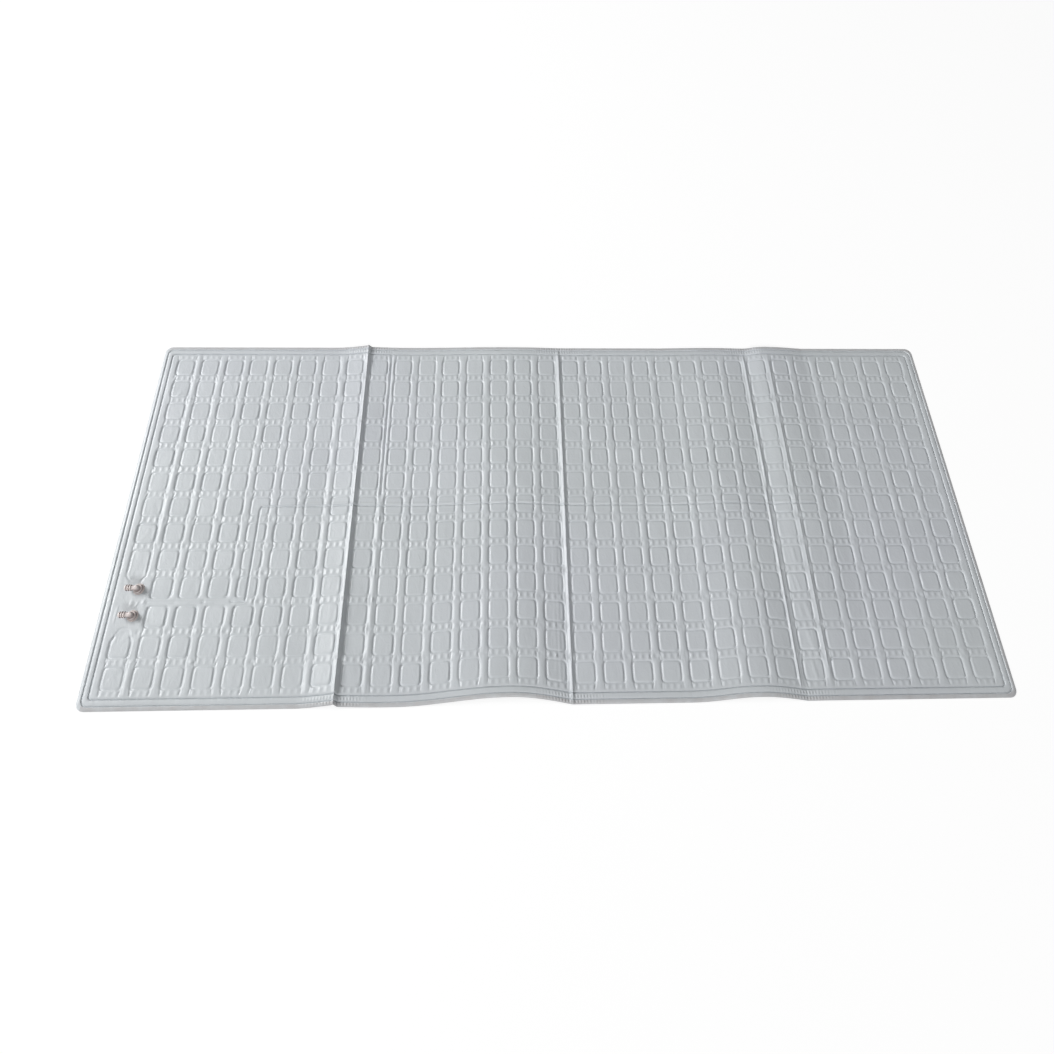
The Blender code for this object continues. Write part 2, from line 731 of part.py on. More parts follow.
def main():
    """Build the pad."""
    clear_scene()
    bpy.context.scene.collection.children.link(model)
    bpy.context.scene.collection.children.link(cutters)
    upper_vinyl = make_material("upper_vinyl", (0.60, 0.64, 0.67), 0.42)
    lower_vinyl = make_material("lower_vinyl", (0.56, 0.60, 0.63), 0.50)
    plastic = make_material("port_plastic", (0.72, 0.66, 0.64), 0.30)
    rubber = make_material("ring_rubber", (0.04, 0.04, 0.04), 0.60)
    axis = None
    for panel in range(CREASES + 1):
        films = [upper_film(panel, upper_vinyl), lower_film(panel, lower_vinyl)]
        if panel:
            axis = hang_on_axis(f"crease_{panel}_axis", crease_place(panel - 1), films, axis)
        else:
            port_film = films[0]
    for port in PORT_ROWS:
        make_port(port, port_film, plastic, rubber)


main()
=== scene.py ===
"""Looks of the water cooling mattress pad: embossed films, hose elbows, studio light and camera.

Everything is in metres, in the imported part's frame: +X along the pad, +Y to its back edge, +Z up.
The films are drawn flat first, as a height over the pattern, and then laid over the folds.
"""
import json
import math

import bmesh
import bpy
import numpy as np
from mathutils import Matrix, Vector


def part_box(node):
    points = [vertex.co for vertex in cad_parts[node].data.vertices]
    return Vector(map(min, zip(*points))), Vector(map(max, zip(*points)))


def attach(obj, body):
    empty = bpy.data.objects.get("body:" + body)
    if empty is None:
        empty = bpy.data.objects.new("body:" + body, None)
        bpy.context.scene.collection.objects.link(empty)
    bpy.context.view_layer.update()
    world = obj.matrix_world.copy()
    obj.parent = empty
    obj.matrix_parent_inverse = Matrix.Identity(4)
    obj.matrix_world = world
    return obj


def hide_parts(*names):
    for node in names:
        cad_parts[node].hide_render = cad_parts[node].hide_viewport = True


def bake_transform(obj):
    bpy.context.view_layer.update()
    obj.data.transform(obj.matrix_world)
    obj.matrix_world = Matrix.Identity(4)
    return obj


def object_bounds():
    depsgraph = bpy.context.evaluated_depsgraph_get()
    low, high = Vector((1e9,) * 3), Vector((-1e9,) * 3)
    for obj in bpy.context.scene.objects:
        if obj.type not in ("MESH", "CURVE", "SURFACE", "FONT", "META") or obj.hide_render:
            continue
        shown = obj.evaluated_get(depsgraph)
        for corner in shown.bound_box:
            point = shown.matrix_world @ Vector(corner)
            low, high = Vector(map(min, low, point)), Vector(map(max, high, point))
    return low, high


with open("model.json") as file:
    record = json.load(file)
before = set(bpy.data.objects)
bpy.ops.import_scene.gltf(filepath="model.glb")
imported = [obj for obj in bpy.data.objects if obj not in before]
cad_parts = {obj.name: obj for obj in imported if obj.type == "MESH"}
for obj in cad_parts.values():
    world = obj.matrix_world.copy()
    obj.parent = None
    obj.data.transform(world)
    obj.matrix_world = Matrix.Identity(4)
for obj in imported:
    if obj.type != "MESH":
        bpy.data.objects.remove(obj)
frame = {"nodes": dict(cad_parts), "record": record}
CAD_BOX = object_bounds()

MM = 0.001
HALF_LENGTH = CAD_BOX[1].x
HALF_WIDTH = CAD_BOX[1].y
FOLD_X = sorted(joint["pos_m"][0] for joint in frame["record"]["behaviour"]["joints"]
                if joint["name"].startswith("crease"))

# Pattern: square tiles between channels, inside a plain margin, and the share of the pad's corner
# that is rounded
MARGIN = 25 * MM
PITCH = 50 * MM
COLUMNS = round((2 * HALF_LENGTH - 2 * MARGIN) / PITCH)
ROWS = round((2 * HALF_WIDTH - 2 * MARGIN) / PITCH)
TILE_HALF = 17.5 * MM
TILE_CORNER = 6 * MM
CHANNEL_HALF = PITCH / 2 - TILE_HALF
PAD_CORNER = MARGIN + CHANNEL_HALF
CORNER_SHARE = 0.43

# Levels where the sheet lies flat
LOWER_FILM = 0.6 * MM
UPPER_BASE = 0.9 * MM
LEAST_FILM = 0.2 * MM
CHANNEL_LEVEL = 3.6 * MM
GROOVE_DEPTH = 2.3 * MM
GROOVE_HALF = 3 * MM
# Grooves in front of a tile and behind it are shallower: shares of the depth at the first and last
# fold, and how far the deeper grooves reach round the corners, in corner sizes
CROSS_GROOVE_SHARES = (0.35, 0.8)
SIDE_GROOVE_REACH = 1.2
TILE_SINK = 0.6 * MM
TILE_CROWN = 0.3 * MM
TILE_TILT = 0.022
LIP_INSET = 3.4 * MM
LIP_HALF = 2.2 * MM
LIP_RISE = 0.3 * MM
CHANNEL_CROWN = 0.1 * MM
RIDGE_RISE = 0.75 * MM
RIDGE_HALF = 2.3 * MM
GAP_SINK = 0.5 * MM
RIB_PITCH = 11.6 * MM
RIB_HALF = 3.4 * MM
RIB_RISE = 1.45 * MM
LEFT_RIB_SHARE = 0.7
RIB_LENGTH_HALF = 4.6 * MM
KINK_REACH = 3 * MM
KINK_DEPTH = 1.1 * MM
KINK_HALF = 2.2 * MM
DIMPLE_HALF_X = 5 * MM
DIMPLE_HALF_Y = 7 * MM
DIMPLE_DEPTH = 2.4 * MM
IMPRINT_DEPTH = 0.3 * MM
RIPPLE_RISE = 0.35 * MM
# Waves of the ripple: radians a metre along X and along Y, and the angle at the middle
RIPPLE_WAVES = ((31, 9, 0.0), (17, -23, 1.3), (-11, 37, 2.1), (53, 14, 0.7), (44, -47, 3.9))

# Border from the pad's edge inwards: serrated flange, weld line, bead, weld line, outer channel,
# as (offset, level) points; then the numbers of the two weld points, and where the flange ends
BORDER_SECTION = np.array((
    (0, 1.1), (0.8, 1.7), (2.2, 2.5), (4.0, 3.0), (5.8, 3.1), (6.6, 2.9), (7.1, 1.5), (7.6, 1.15),
    (8.2, 2.3), (9.1, 3.0), (11.4, 3.4), (13.6, 3.5), (15.6, 3.4), (16.7, 3.1), (17.3, 1.6),
    (17.9, 1.15), (18.6, 2.5), (19.7, 3.4), (22.0, 3.6),
)) * MM
BORDER_OFFSETS, BORDER_LEVELS = BORDER_SECTION.T
OUTER_WELD = 7
INNER_WELD = 15
FLANGE = 6 * MM

# Teeth of the edge weld: share of their rise away from a fold, how near one they grow, and the
# bands that they take, each as its middle from the edge and half its width
SERRATION_PITCH = 5.4 * MM
SERRATION_RISE = 0.5 * MM
SERRATION_LEAST = 0.12
SERRATION_REACH = 75 * MM
SERRATION_BANDS = ((4 * MM, 3.6 * MM), (12.3 * MM, 4 * MM))

# Unevenness of the pattern, drawn once; the last two lines set the channel ridges that the
# photograph shows, by the number of the column edge
chance = np.random.default_rng(11)
GROOVE_SHARE = chance.uniform(0.72, 1.2, (COLUMNS, ROWS))
TILT_X = chance.uniform(-TILE_TILT, TILE_TILT, (COLUMNS, ROWS))
TILT_Y = chance.uniform(-TILE_TILT, TILE_TILT, (COLUMNS, ROWS))
DIMPLE_SIGNS = np.where(chance.uniform(0, 1, (COLUMNS + 1, ROWS + 1)) < 0.6, -1, 0.8)
DIMPLES = chance.uniform(0.3, 1, (COLUMNS + 1, ROWS + 1)) * DIMPLE_SIGNS * DIMPLE_DEPTH
DIMPLE_SHIFTS = chance.uniform(-1.5, 1.5, (COLUMNS + 1, ROWS + 1)) * MM
KINK_SHARES = chance.uniform(-0.6, 1.2, (COLUMNS, ROWS))
RIDGE_SHARES = chance.uniform(0.05, 0.5, COLUMNS + 1)
SEEN_RIDGES = {1: 1, 7: 1, 9: 0, 13: 1, 19: 0.7, 21: 0.7}
RIDGE_SHARES[list(SEEN_RIDGES)] = list(SEEN_RIDGES.values())

# Divider weld between the way out and the way back of the water: it comes from between the ports,
# turns back in one column, turns again and runs along one row; a depth for each of these stretches
DIVIDER_COLUMN = 4
DIVIDER_ROW = 6
DIVIDER_END_COLUMN = 25
DIVIDER_END_SHARE = 0.8
DIVIDER_TURN = 9 * MM
DIVIDER_DEPTHS = (1 * MM, 2.3 * MM, 2.2 * MM)
DIVIDER_HALF = 2.4 * MM
DIVIDER_LIP_RISE = 0.7 * MM
DIVIDER_LIP_SHIFT = 4.2 * MM
DIVIDER_LIP_HALF = 1.8 * MM
PORT_GAP_ROW = 3
# Tiles in front of the ports and behind them: reach towards the ports, where they narrow, how fast
PORT_TILES = ((14 * MM, 9 * MM, 0.45), (22 * MM, 28 * MM, 0.8))

# Folds that stay in the sheet: fold, then as shares of the run and height: crest from the fold,
# run before and after, heights at the spots from front to back, how far the front hem draws back
# with the height, and whether the crest is sharp
WAVE_HEIGHT = 28 * MM
WAVE_RUN = 100 * MM
WAVE_SPOTS = (0, 0.3, 0.6, 0.93, 1)
WAVE_SHARES = (
    (0, 0.00, 0.65, 0.90, (0.40, 0.33, 0.25, 0.26, 0.45), 0.4, True),
    (1, -1.05, 2.00, 1.05, (0.37, 0.30, 0.23, 0.16, 0.14), 1.15, False),
    (2, -0.75, 1.20, 0.80, (0.32, 0.25, 0.19, 0.12, 0.10), 0.7, False),
    (2, 0.42, 0.42, 0.90, (0.04, 0.12, 0.20, 0.28, 0.30), 0.0, False),
)
# A sharp crest: how near it the sheet steepens before it and drops after it, with what share of the
# height, and how hollow the slope before it is
CREST_RUN = 5 * MM
CREST_SHARE = 0.12
FACE_RUN = 5.5 * MM
FACE_SHARE = 0.66
SLOPE_POWER = 1.5

# Ridges and dents in the embossed face: from and to (x, y), widths on the left and the right, rise
FOLD_1, FOLD_2, FOLD_3 = FOLD_X
CREASES = (
    ((FOLD_2 + 1.8 * MM, -0.36), (FOLD_2 + 1.8 * MM, 0.35), 7 * MM, 1.2 * MM, 3.2 * MM),
    ((FOLD_2 - 18 * MM, -0.34), (FOLD_2 - 18 * MM, 0.15), 3 * MM, 3 * MM, 0.8 * MM),
    ((FOLD_2 - 25 * MM, -0.31), (FOLD_2 - 23 * MM, -0.05), 2.5 * MM, 2.5 * MM, 0.6 * MM),
    ((FOLD_3, 0.02), (FOLD_3, 0.34), 4.5 * MM, 4.5 * MM, 2.2 * MM),
    ((FOLD_3 + PITCH, -0.33), (FOLD_3 + PITCH, 0.34), 3.5 * MM, 3 * MM, 1.4 * MM),
    ((FOLD_3 - 3.8 * MM, -0.34), (FOLD_3 - 2.7 * MM, 0.05), 4 * MM, 2.4 * MM, 1.8 * MM),
    ((FOLD_3 + 26 * MM, -0.080), (FOLD_3 + 29 * MM, -0.120), 3.4 * MM, 3 * MM, 1.5 * MM),
    ((FOLD_3 + 20 * MM, -0.130), (FOLD_3 + 29 * MM, -0.172), 3.4 * MM, 3 * MM, 1.6 * MM),
    ((FOLD_3 + 13 * MM, -0.130), (FOLD_3 + 19 * MM, -0.172), 3.4 * MM, 3 * MM, 1.2 * MM),
    ((FOLD_3 + 29 * MM, -0.180), (FOLD_3 + 39 * MM, -0.222), 3.4 * MM, 3 * MM, 1.6 * MM),
    ((FOLD_3 + 18 * MM, -0.186), (FOLD_3 + 24 * MM, -0.216), 3.4 * MM, 3 * MM, 1.1 * MM),
    ((FOLD_3 + 24 * MM, -0.228), (FOLD_3 + 33 * MM, -0.272), 3.4 * MM, 3 * MM, 1.6 * MM),
    ((FOLD_3 + 32 * MM, -0.230), (FOLD_3 + 36 * MM, -0.268), 3.4 * MM, 3 * MM, 1.2 * MM),
    ((FOLD_3 + 23 * MM, -0.280), (FOLD_3 + 29 * MM, -0.322), 3.4 * MM, 3 * MM, 1.5 * MM),
    ((-0.7573, 0.2285), (-0.7362, 0.2565), 3 * MM, 3 * MM, 1.1 * MM),
    ((-0.7486, -0.1700), (-0.7466, -0.1840), 2.2 * MM, 2.2 * MM, 0.9 * MM),
    ((-0.7347, -0.1715), (-0.7405, -0.1850), 2.2 * MM, 2.2 * MM, 0.7 * MM),
    ((-0.7690, -0.1760), (-0.7700, -0.2130), 2.2 * MM, 2.2 * MM, 0.7 * MM),
    ((FOLD_1 + PITCH, 0.00), (FOLD_1 + PITCH, 0.345), 4.6 * MM, 2.4 * MM, -2.5 * MM),
    ((FOLD_1 + PITCH, -0.345), (FOLD_1 + PITCH, 0.02), 3.4 * MM, 2.4 * MM, 1.3 * MM),
)
CREASE_FADE = 30 * MM


def column_edge(column):
    """X of the left boundary of a pattern cell."""
    return MARGIN - HALF_LENGTH + column * PITCH


def row_edge(row):
    """Y of the front boundary of a pattern cell, row 0 being the front one."""
    return MARGIN - HALF_WIDTH + row * PITCH


def smooth_step(share):
    """0 below 0, 1 above 1 and smooth between."""
    share = np.clip(share, 0, 1)
    return share * share * (3 - 2 * share)


def hill(distance, half):
    """A round ridge of height 1 that ends at half its width."""
    near = np.clip(np.abs(distance) / half, 0, 1)
    return (1 + np.cos(math.pi * near)) / 2


def edge_distance(x, y):
    """Distance from the pad's nearest edge, before its corners are rounded."""
    return np.minimum(HALF_LENGTH - np.abs(x), HALF_WIDTH - np.abs(y))


def rounded_box(u, v, half_u, half_v, corner):
    """Distance from the outline of a rectangle with round corners, below 0 inside."""
    from_u = np.abs(u) - half_u + corner
    from_v = np.abs(v) - half_v + corner
    outside = np.hypot(np.maximum(from_u, 0), np.maximum(from_v, 0))
    return outside + np.minimum(np.maximum(from_u, from_v), 0) - corner


def cell_of(place, half_size, count):
    """Number of the pattern cell at a place, and the distance from its middle."""
    number = np.clip(np.floor((place + half_size - MARGIN) / PITCH), 0, count - 1).astype(int)
    return number, place - (MARGIN - half_size + (number + 0.5) * PITCH)


def fold_height(x, back_share):
    """How far the sheet stands off the ground, and how far its front hem is drawn back by that."""
    height = np.zeros(np.broadcast(x, back_share).shape)
    drawn = np.zeros(height.shape)
    for fold, shift, before, after, spots, draw, sharp in WAVE_SHARES:
        distance = x - FOLD_X[fold] - shift * WAVE_RUN
        along = np.where(distance < 0, -distance / (before * WAVE_RUN), distance / (after * WAVE_RUN))
        along = np.clip(along, 0, 1)
        if sharp:
            before_crest = np.clip(1 + distance / CREST_RUN, 0, 1) ** 2
            rising = CREST_SHARE * before_crest + (1 - CREST_SHARE) * (1 - along) ** SLOPE_POWER
            face = np.clip(1 - distance / FACE_RUN, 0, 1)
            falling = FACE_SHARE * face + (1 - FACE_SHARE) * (1 - along) ** 2
            profile = np.where(distance < 0, rising, falling)
        else:
            profile = np.where(distance < 0, (1 + np.cos(math.pi * along)) / 2, np.cos(math.pi * along / 2))
        rise = np.interp(back_share, WAVE_SPOTS, spots) * profile * WAVE_HEIGHT
        height = height + rise
        drawn = drawn + draw * rise * (1 - back_share) ** 2
    return height, drawn


def tile_outline(x, y):
    """Distance from the nearest tile's outline. None lies under the ports: two taper towards them."""
    column, u = cell_of(x, HALF_LENGTH, COLUMNS)
    v = cell_of(y, HALF_WIDTH, ROWS)[1]
    outline = rounded_box(u, v, TILE_HALF, TILE_HALF, TILE_CORNER)
    front_middle = row_edge(PORT_GAP_ROW - 2) + PITCH / 2
    back_middle = row_edge(PORT_GAP_ROW + 1) + PITCH / 2
    beside_ports = (column == 0) & (y > front_middle) & (y < back_middle)
    in_front = y < row_edge(PORT_GAP_ROW)
    towards = np.where(in_front, y - front_middle, back_middle - y)
    reach, start, taper = (np.where(in_front, *pair) for pair in zip(*PORT_TILES))
    narrowed = np.abs(u) + taper * np.maximum(towards - start, 0)
    tapered = rounded_box(narrowed, towards - reach / 2, TILE_HALF, TILE_HALF + reach / 2, TILE_CORNER)
    return np.where(beside_ports, tapered, outline)


def divider_distance(x, y):
    """Distance from the middle of the divider weld: out from the ports, back, and along the pad."""
    turn_x = column_edge(DIVIDER_COLUMN) + PITCH / 2
    port_y = row_edge(PORT_GAP_ROW)
    line_y = row_edge(DIVIDER_ROW) + PITCH / 2
    end_x = column_edge(DIVIDER_END_COLUMN + DIVIDER_END_SHARE)
    start_x = column_edge(1)
    out = np.hypot(np.maximum(np.maximum(start_x - x, x - turn_x), 0), y - port_y)
    across = np.hypot(x - turn_x, np.maximum(np.maximum(port_y - y, y - line_y + DIVIDER_TURN), 0))
    along = np.hypot(np.maximum(np.maximum(turn_x + DIVIDER_TURN - x, x - end_x), 0), y - line_y)
    from_x, from_y = x - turn_x - DIVIDER_TURN, y - line_y + DIVIDER_TURN
    in_turn = (from_x < 0) & (from_y > 0)
    turn = np.where(in_turn, np.abs(np.hypot(from_x, from_y) - DIVIDER_TURN), PITCH)
    return np.minimum(np.minimum(out, across), np.minimum(along, turn))


def ripple(x, y):
    """Soft unevenness of a film that has been folded and packed."""
    height = sum(np.sin(along_x * x + along_y * y + start) for along_x, along_y, start in RIPPLE_WAVES)
    return height / len(RIPPLE_WAVES) * RIPPLE_RISE


def crease(x, y, start, end, left, right, rise):
    """A straight ridge, or a dent where its rise is below 0, that fades out at both ends."""
    run = np.subtract(end, start)
    length = np.hypot(*run)
    from_x, from_y = x - start[0], y - start[1]
    along = (from_x * run[0] + from_y * run[1]) / length
    across = (from_x * run[1] - from_y * run[0]) / length
    fade_run = min(CREASE_FADE, length / 3)
    fade = smooth_step(along / fade_run) * smooth_step((length - along) / fade_run)
    return rise * fade * np.where(across < 0, hill(across, left), hill(across, right))


def crossing_dimple(x, y):
    """Dents and bumps where the channels cross, each of its own depth."""
    column = np.clip(np.round((x + HALF_LENGTH - MARGIN) / PITCH), 1, COLUMNS - 1).astype(int)
    row = np.clip(np.round((y + HALF_WIDTH - MARGIN) / PITCH), 1, ROWS - 1).astype(int)
    from_x = x - column_edge(column) - DIMPLE_SHIFTS[column, row]
    from_y = y - row_edge(row)
    away = np.abs(from_x) / DIMPLE_HALF_X + np.abs(from_y) / DIMPLE_HALF_Y
    return DIMPLES[column, row] * np.maximum(1 - away, 0)


def channel_ridge(x, y):
    """Ridges along the channels between the columns; the first one stops beside the ports."""
    edge_number = np.round((x + HALF_LENGTH - MARGIN) / PITCH).astype(int).clip(0, COLUMNS)
    from_ports = np.abs(y - row_edge(PORT_GAP_ROW))
    inner = (edge_number > 0) & (edge_number < COLUMNS) & ((edge_number > 1) | (from_ports > 2 * PITCH))
    ridge = hill(x - column_edge(edge_number), RIDGE_HALF)
    return RIDGE_RISE * RIDGE_SHARES[edge_number] * ridge * inner


def gap_relief(x, y):
    """Gaps between the tiles of a column: a sunk film, ribs that bridge it, and kinked tile sides."""
    column, u = cell_of(x, HALF_LENGTH, COLUMNS)
    row, v = cell_of(y, HALF_WIDTH, ROWS)
    from_ports = np.abs(y - row_edge(PORT_GAP_ROW))
    plain = (from_ports < CHANNEL_HALF) & (x < column_edge(DIVIDER_COLUMN) + PITCH / 2)
    plain = plain | ((column == 0) & (from_ports < 2 * PITCH - TILE_HALF + CHANNEL_HALF))

    in_gap = smooth_step((np.abs(v) - TILE_HALF - GROOVE_HALF / 2) / GROOVE_HALF)
    between = smooth_step((TILE_HALF - np.abs(u)) / KINK_HALF) * in_gap
    nearest = np.clip(np.round(u / RIB_PITCH), -1, 1) * RIB_PITCH
    rib_end = smooth_step((RIB_LENGTH_HALF - PITCH / 2 + np.abs(v)) / GROOVE_HALF + 0.5)
    rib = hill(u - nearest, RIB_HALF) * rib_end * np.where(x < FOLD_1, LEFT_RIB_SHARE, 1)
    relief = (RIB_RISE * GROOVE_SHARE[column, row] * rib - GAP_SINK) * between

    rise = np.clip((np.abs(v) - TILE_HALF + TILE_CORNER) / (CHANNEL_HALF + TILE_CORNER), 0, 1)
    kink = hill(np.abs(u) - TILE_HALF + KINK_REACH * KINK_SHARES[column, row] * rise ** 2, KINK_HALF)
    beside_tile = smooth_step((np.abs(v) - TILE_HALF + TILE_CORNER / 2) / TILE_CORNER)
    outside = tile_outline(x, y) > 0
    return np.where(plain, 0, relief - KINK_DEPTH * kink * beside_tile * outside)


def divider_relief(x, y):
    """The divider weld, and beside its stretch along the pad the film that it pushes up."""
    stops = [column_edge(DIVIDER_COLUMN + share) for share in (0, 0.5, 1)]
    away = divider_distance(x, y)
    weld = np.interp(x, stops, DIVIDER_DEPTHS) * hill(away, DIVIDER_HALF)
    lip = DIVIDER_LIP_RISE * smooth_step((x - stops[1]) / PITCH)
    return lip * hill(away - DIVIDER_LIP_SHIFT, DIVIDER_LIP_HALF) - weld


def tile_level(x, y):
    """Height of the channels and tiles: each tile has a groove round it, a lip, a crown and a tilt."""
    column, u = cell_of(x, HALF_LENGTH, COLUMNS)
    row, v = cell_of(y, HALF_WIDTH, ROWS)
    outline = tile_outline(x, y)
    inside = smooth_step(-outline / GROOVE_HALF)
    beside = smooth_step((np.abs(u) - np.abs(v)) / TILE_CORNER + SIDE_GROOVE_REACH)
    cross_share = np.interp(x, (FOLD_1, FOLD_3), CROSS_GROOVE_SHARES)
    groove = GROOVE_SHARE[column, row] * (beside + (1 - beside) * cross_share)
    level = CHANNEL_LEVEL - TILE_SINK * inside
    level = level - GROOVE_DEPTH * groove * hill(outline, GROOVE_HALF)
    level = level + LIP_RISE * hill(outline + LIP_INSET, LIP_HALF)
    crown = np.cos(math.pi / 2 * u / TILE_HALF) * np.cos(math.pi / 2 * v / TILE_HALF)
    relief = TILE_CROWN * np.maximum(crown, 0) + u * TILT_X[column, row] + v * TILT_Y[column, row]
    level = level + inside * relief
    return level + CHANNEL_CROWN * hill(PITCH / 2 - np.abs(u), CHANNEL_HALF - GROOVE_HALF / 2)


def upper_level(x, y):
    """Height of the embossed face over the flat pad."""
    edge = edge_distance(x, y)
    in_border = smooth_step((edge - BORDER_OFFSETS[-1]) / RIB_HALF)
    level = tile_level(x, y) + divider_relief(x, y)
    for relief in (gap_relief, crossing_dimple, channel_ridge, ripple):
        level = level + relief(x, y) * in_border
    level = level + np.interp(edge, BORDER_OFFSETS, BORDER_LEVELS) - BORDER_LEVELS[-1]
    for start, end, left, right, rise in CREASES:
        level = level + crease(x, y, start, end, left, right, rise)
    return np.maximum(level, UPPER_BASE + LEAST_FILM)


def serration(x, y):
    """Where the welding wheel's teeth show: two bands along the long edges, most of all by the folds."""
    edge = HALF_WIDTH - np.abs(y)
    near_fold = np.clip(sum(hill(x - fold, SERRATION_REACH) for fold in FOLD_X), 0, 1)
    strength = SERRATION_LEAST + (1 - SERRATION_LEAST) * near_fold
    bands = sum(hill(edge - middle, half) for middle, half in SERRATION_BANDS)
    return bands * strength * (HALF_LENGTH - np.abs(x) > PAD_CORNER)


def under_level(x, y):
    """Height of the pad's underside, on which the welds show as shallow lines."""
    edge = edge_distance(x, y)
    weld = np.maximum(hill(tile_outline(x, y), GROOVE_HALF), hill(divider_distance(x, y), GROOVE_HALF))
    welds = [hill(edge - BORDER_OFFSETS[line], GROOVE_HALF) for line in (OUTER_WELD, INNER_WELD)]
    border = np.maximum(*welds)
    return IMPRINT_DEPTH * np.maximum(weld * (edge > MARGIN), border)


def place_points(x, y, level):
    """Round the pad's corners and lay the flat points over the folds."""
    from_x = PAD_CORNER - HALF_LENGTH + np.abs(x)
    from_y = PAD_CORNER - HALF_WIDTH + np.abs(y)
    corner = (from_x > 0) & (from_y > 0)
    radius = np.maximum(from_x, from_y)
    share = np.minimum(from_x, from_y) / np.where(corner, radius, 1)
    turn = np.clip((share - 1) / CORNER_SHARE + 1, 0, 1) * math.pi / 4
    far = radius * (1 - CORNER_SHARE + CORNER_SHARE * np.cos(turn))
    near = radius * (np.minimum(share, 1 - CORNER_SHARE) + CORNER_SHARE * np.sin(turn))
    along_x = from_x >= from_y
    inner_x, inner_y = HALF_LENGTH - PAD_CORNER, HALF_WIDTH - PAD_CORNER
    new_x = np.where(corner, np.sign(x) * (inner_x + np.where(along_x, far, near)), x)
    new_y = np.where(corner, np.sign(y) * (inner_y + np.where(along_x, near, far)), y)
    back_share = (new_y + HALF_WIDTH) / (2 * HALF_WIDTH)
    height, drawn = fold_height(new_x, back_share)
    return np.stack((new_x, new_y + drawn, level + height), axis=-1)


def mirrored(offsets):
    """Offsets on both sides of a cell's middle, in order."""
    positive = sorted(offset for offset in set(offsets) if offset > 0)
    return [-offset for offset in reversed(positive)] + [0] + positive


def joined_lines(cells, edge_of, offsets, extra, borders):
    """Grid lines through a run of cells, with more of them in chosen cells and at the pad's edge."""
    lines = {edge_of(cells[-1] + 1), *borders}
    for cell in cells:
        middle = edge_of(cell) + PITCH / 2
        lines.add(edge_of(cell))
        lines.update(middle + offset for offset in mirrored([*offsets, *extra.get(cell, ())]))
    return np.array(sorted({round(line, GRID_DIGITS) for line in lines}))


# Grid lines of the films: distances from a cell's middle, closest where the relief is steep, from a
# fold, from the pad's middle for its border, and from the divider weld
FINE_X = [offset * MM for offset in (
    2.4, 4.8, 7.2, 9.4, 11.6, 13.3, 14.8, 15.9, 16.9, 17.8, 18.9, 20.4, 22.7)]
FINE_Y = [offset * MM for offset in (8.5, 13.2, 15.2, 16.5, 17.5, 18.6, 20.3, 22.6)]
UNDER_OFFSETS = [offset * MM for offset in (15.1, 17.5, 19.9)]
COARSE_X = [7.2 * MM, 17.8 * MM]
FOLD_STEPS = (0.9 * MM, 1.8 * MM, 2.7 * MM, 3.8 * MM, 5.2 * MM)
BORDER_X = [side * (HALF_LENGTH - offset) for side in (-1, 1) for offset in BORDER_OFFSETS]
BORDER_Y = [side * (HALF_WIDTH - offset) for side in (-1, 1) for offset in BORDER_OFFSETS]
DIVIDER_LINES = (DIVIDER_HALF / 2, DIVIDER_HALF, DIVIDER_LIP_SHIFT, DIVIDER_LIP_SHIFT + DIVIDER_LIP_HALF)
# Decimals of a line's place in metres, and the angle past which a film's edge stays sharp
GRID_DIGITS = 6
FILM_SHARP_ANGLE = math.radians(62)


def lines_along(first, last, offsets, fine):
    """X lines of one film piece between two column edges."""
    cells = list(range(first, last))
    left, right = column_edge(first), column_edge(last)
    ends = [line for line in BORDER_X if (first == 0 and line < 0) or (last == COLUMNS and line > 0)]
    folds = [fold + side * step for fold in FOLD_X if left < fold < right
             for side in (-1, 1) for step in FOLD_STEPS]
    extra = {DIVIDER_COLUMN: DIVIDER_LINES} if fine else {}
    return joined_lines(cells, column_edge, offsets, extra, ends + folds)


def lines_across(offsets, fine):
    """Y lines of every film piece."""
    extra = {DIVIDER_ROW: DIVIDER_LINES} if fine else {}
    return joined_lines(list(range(ROWS)), row_edge, offsets, extra, BORDER_Y)


def placed(name, data):
    """An object for a mesh, lamp or camera, in the scene."""
    piece = bpy.data.objects.new(name, data)
    bpy.context.scene.collection.objects.link(piece)
    return piece


def coarse_loops(number, stops_x, stops_y):
    """Grid points round each face of the plain side; at the pad's rim, all the points on it."""
    last_x, last_y = number.shape[0] - 1, number.shape[1] - 1
    loops = []
    for left, right in zip(stops_x, stops_x[1:]):
        for front, back in zip(stops_y, stops_y[1:]):
            loop = [(left, j) for j in (range(front, back) if left == 0 else (front,))]
            loop += [(i, back) for i in (range(left, right) if back == last_y else (left,))]
            loop += [(right, j) for j in (range(back, front, -1) if right == last_x else (back,))]
            loop += [(i, front) for i in (range(right, left, -1) if front == 0 else (right,))]
            loops.append([number[spot] for spot in loop])
    return loops


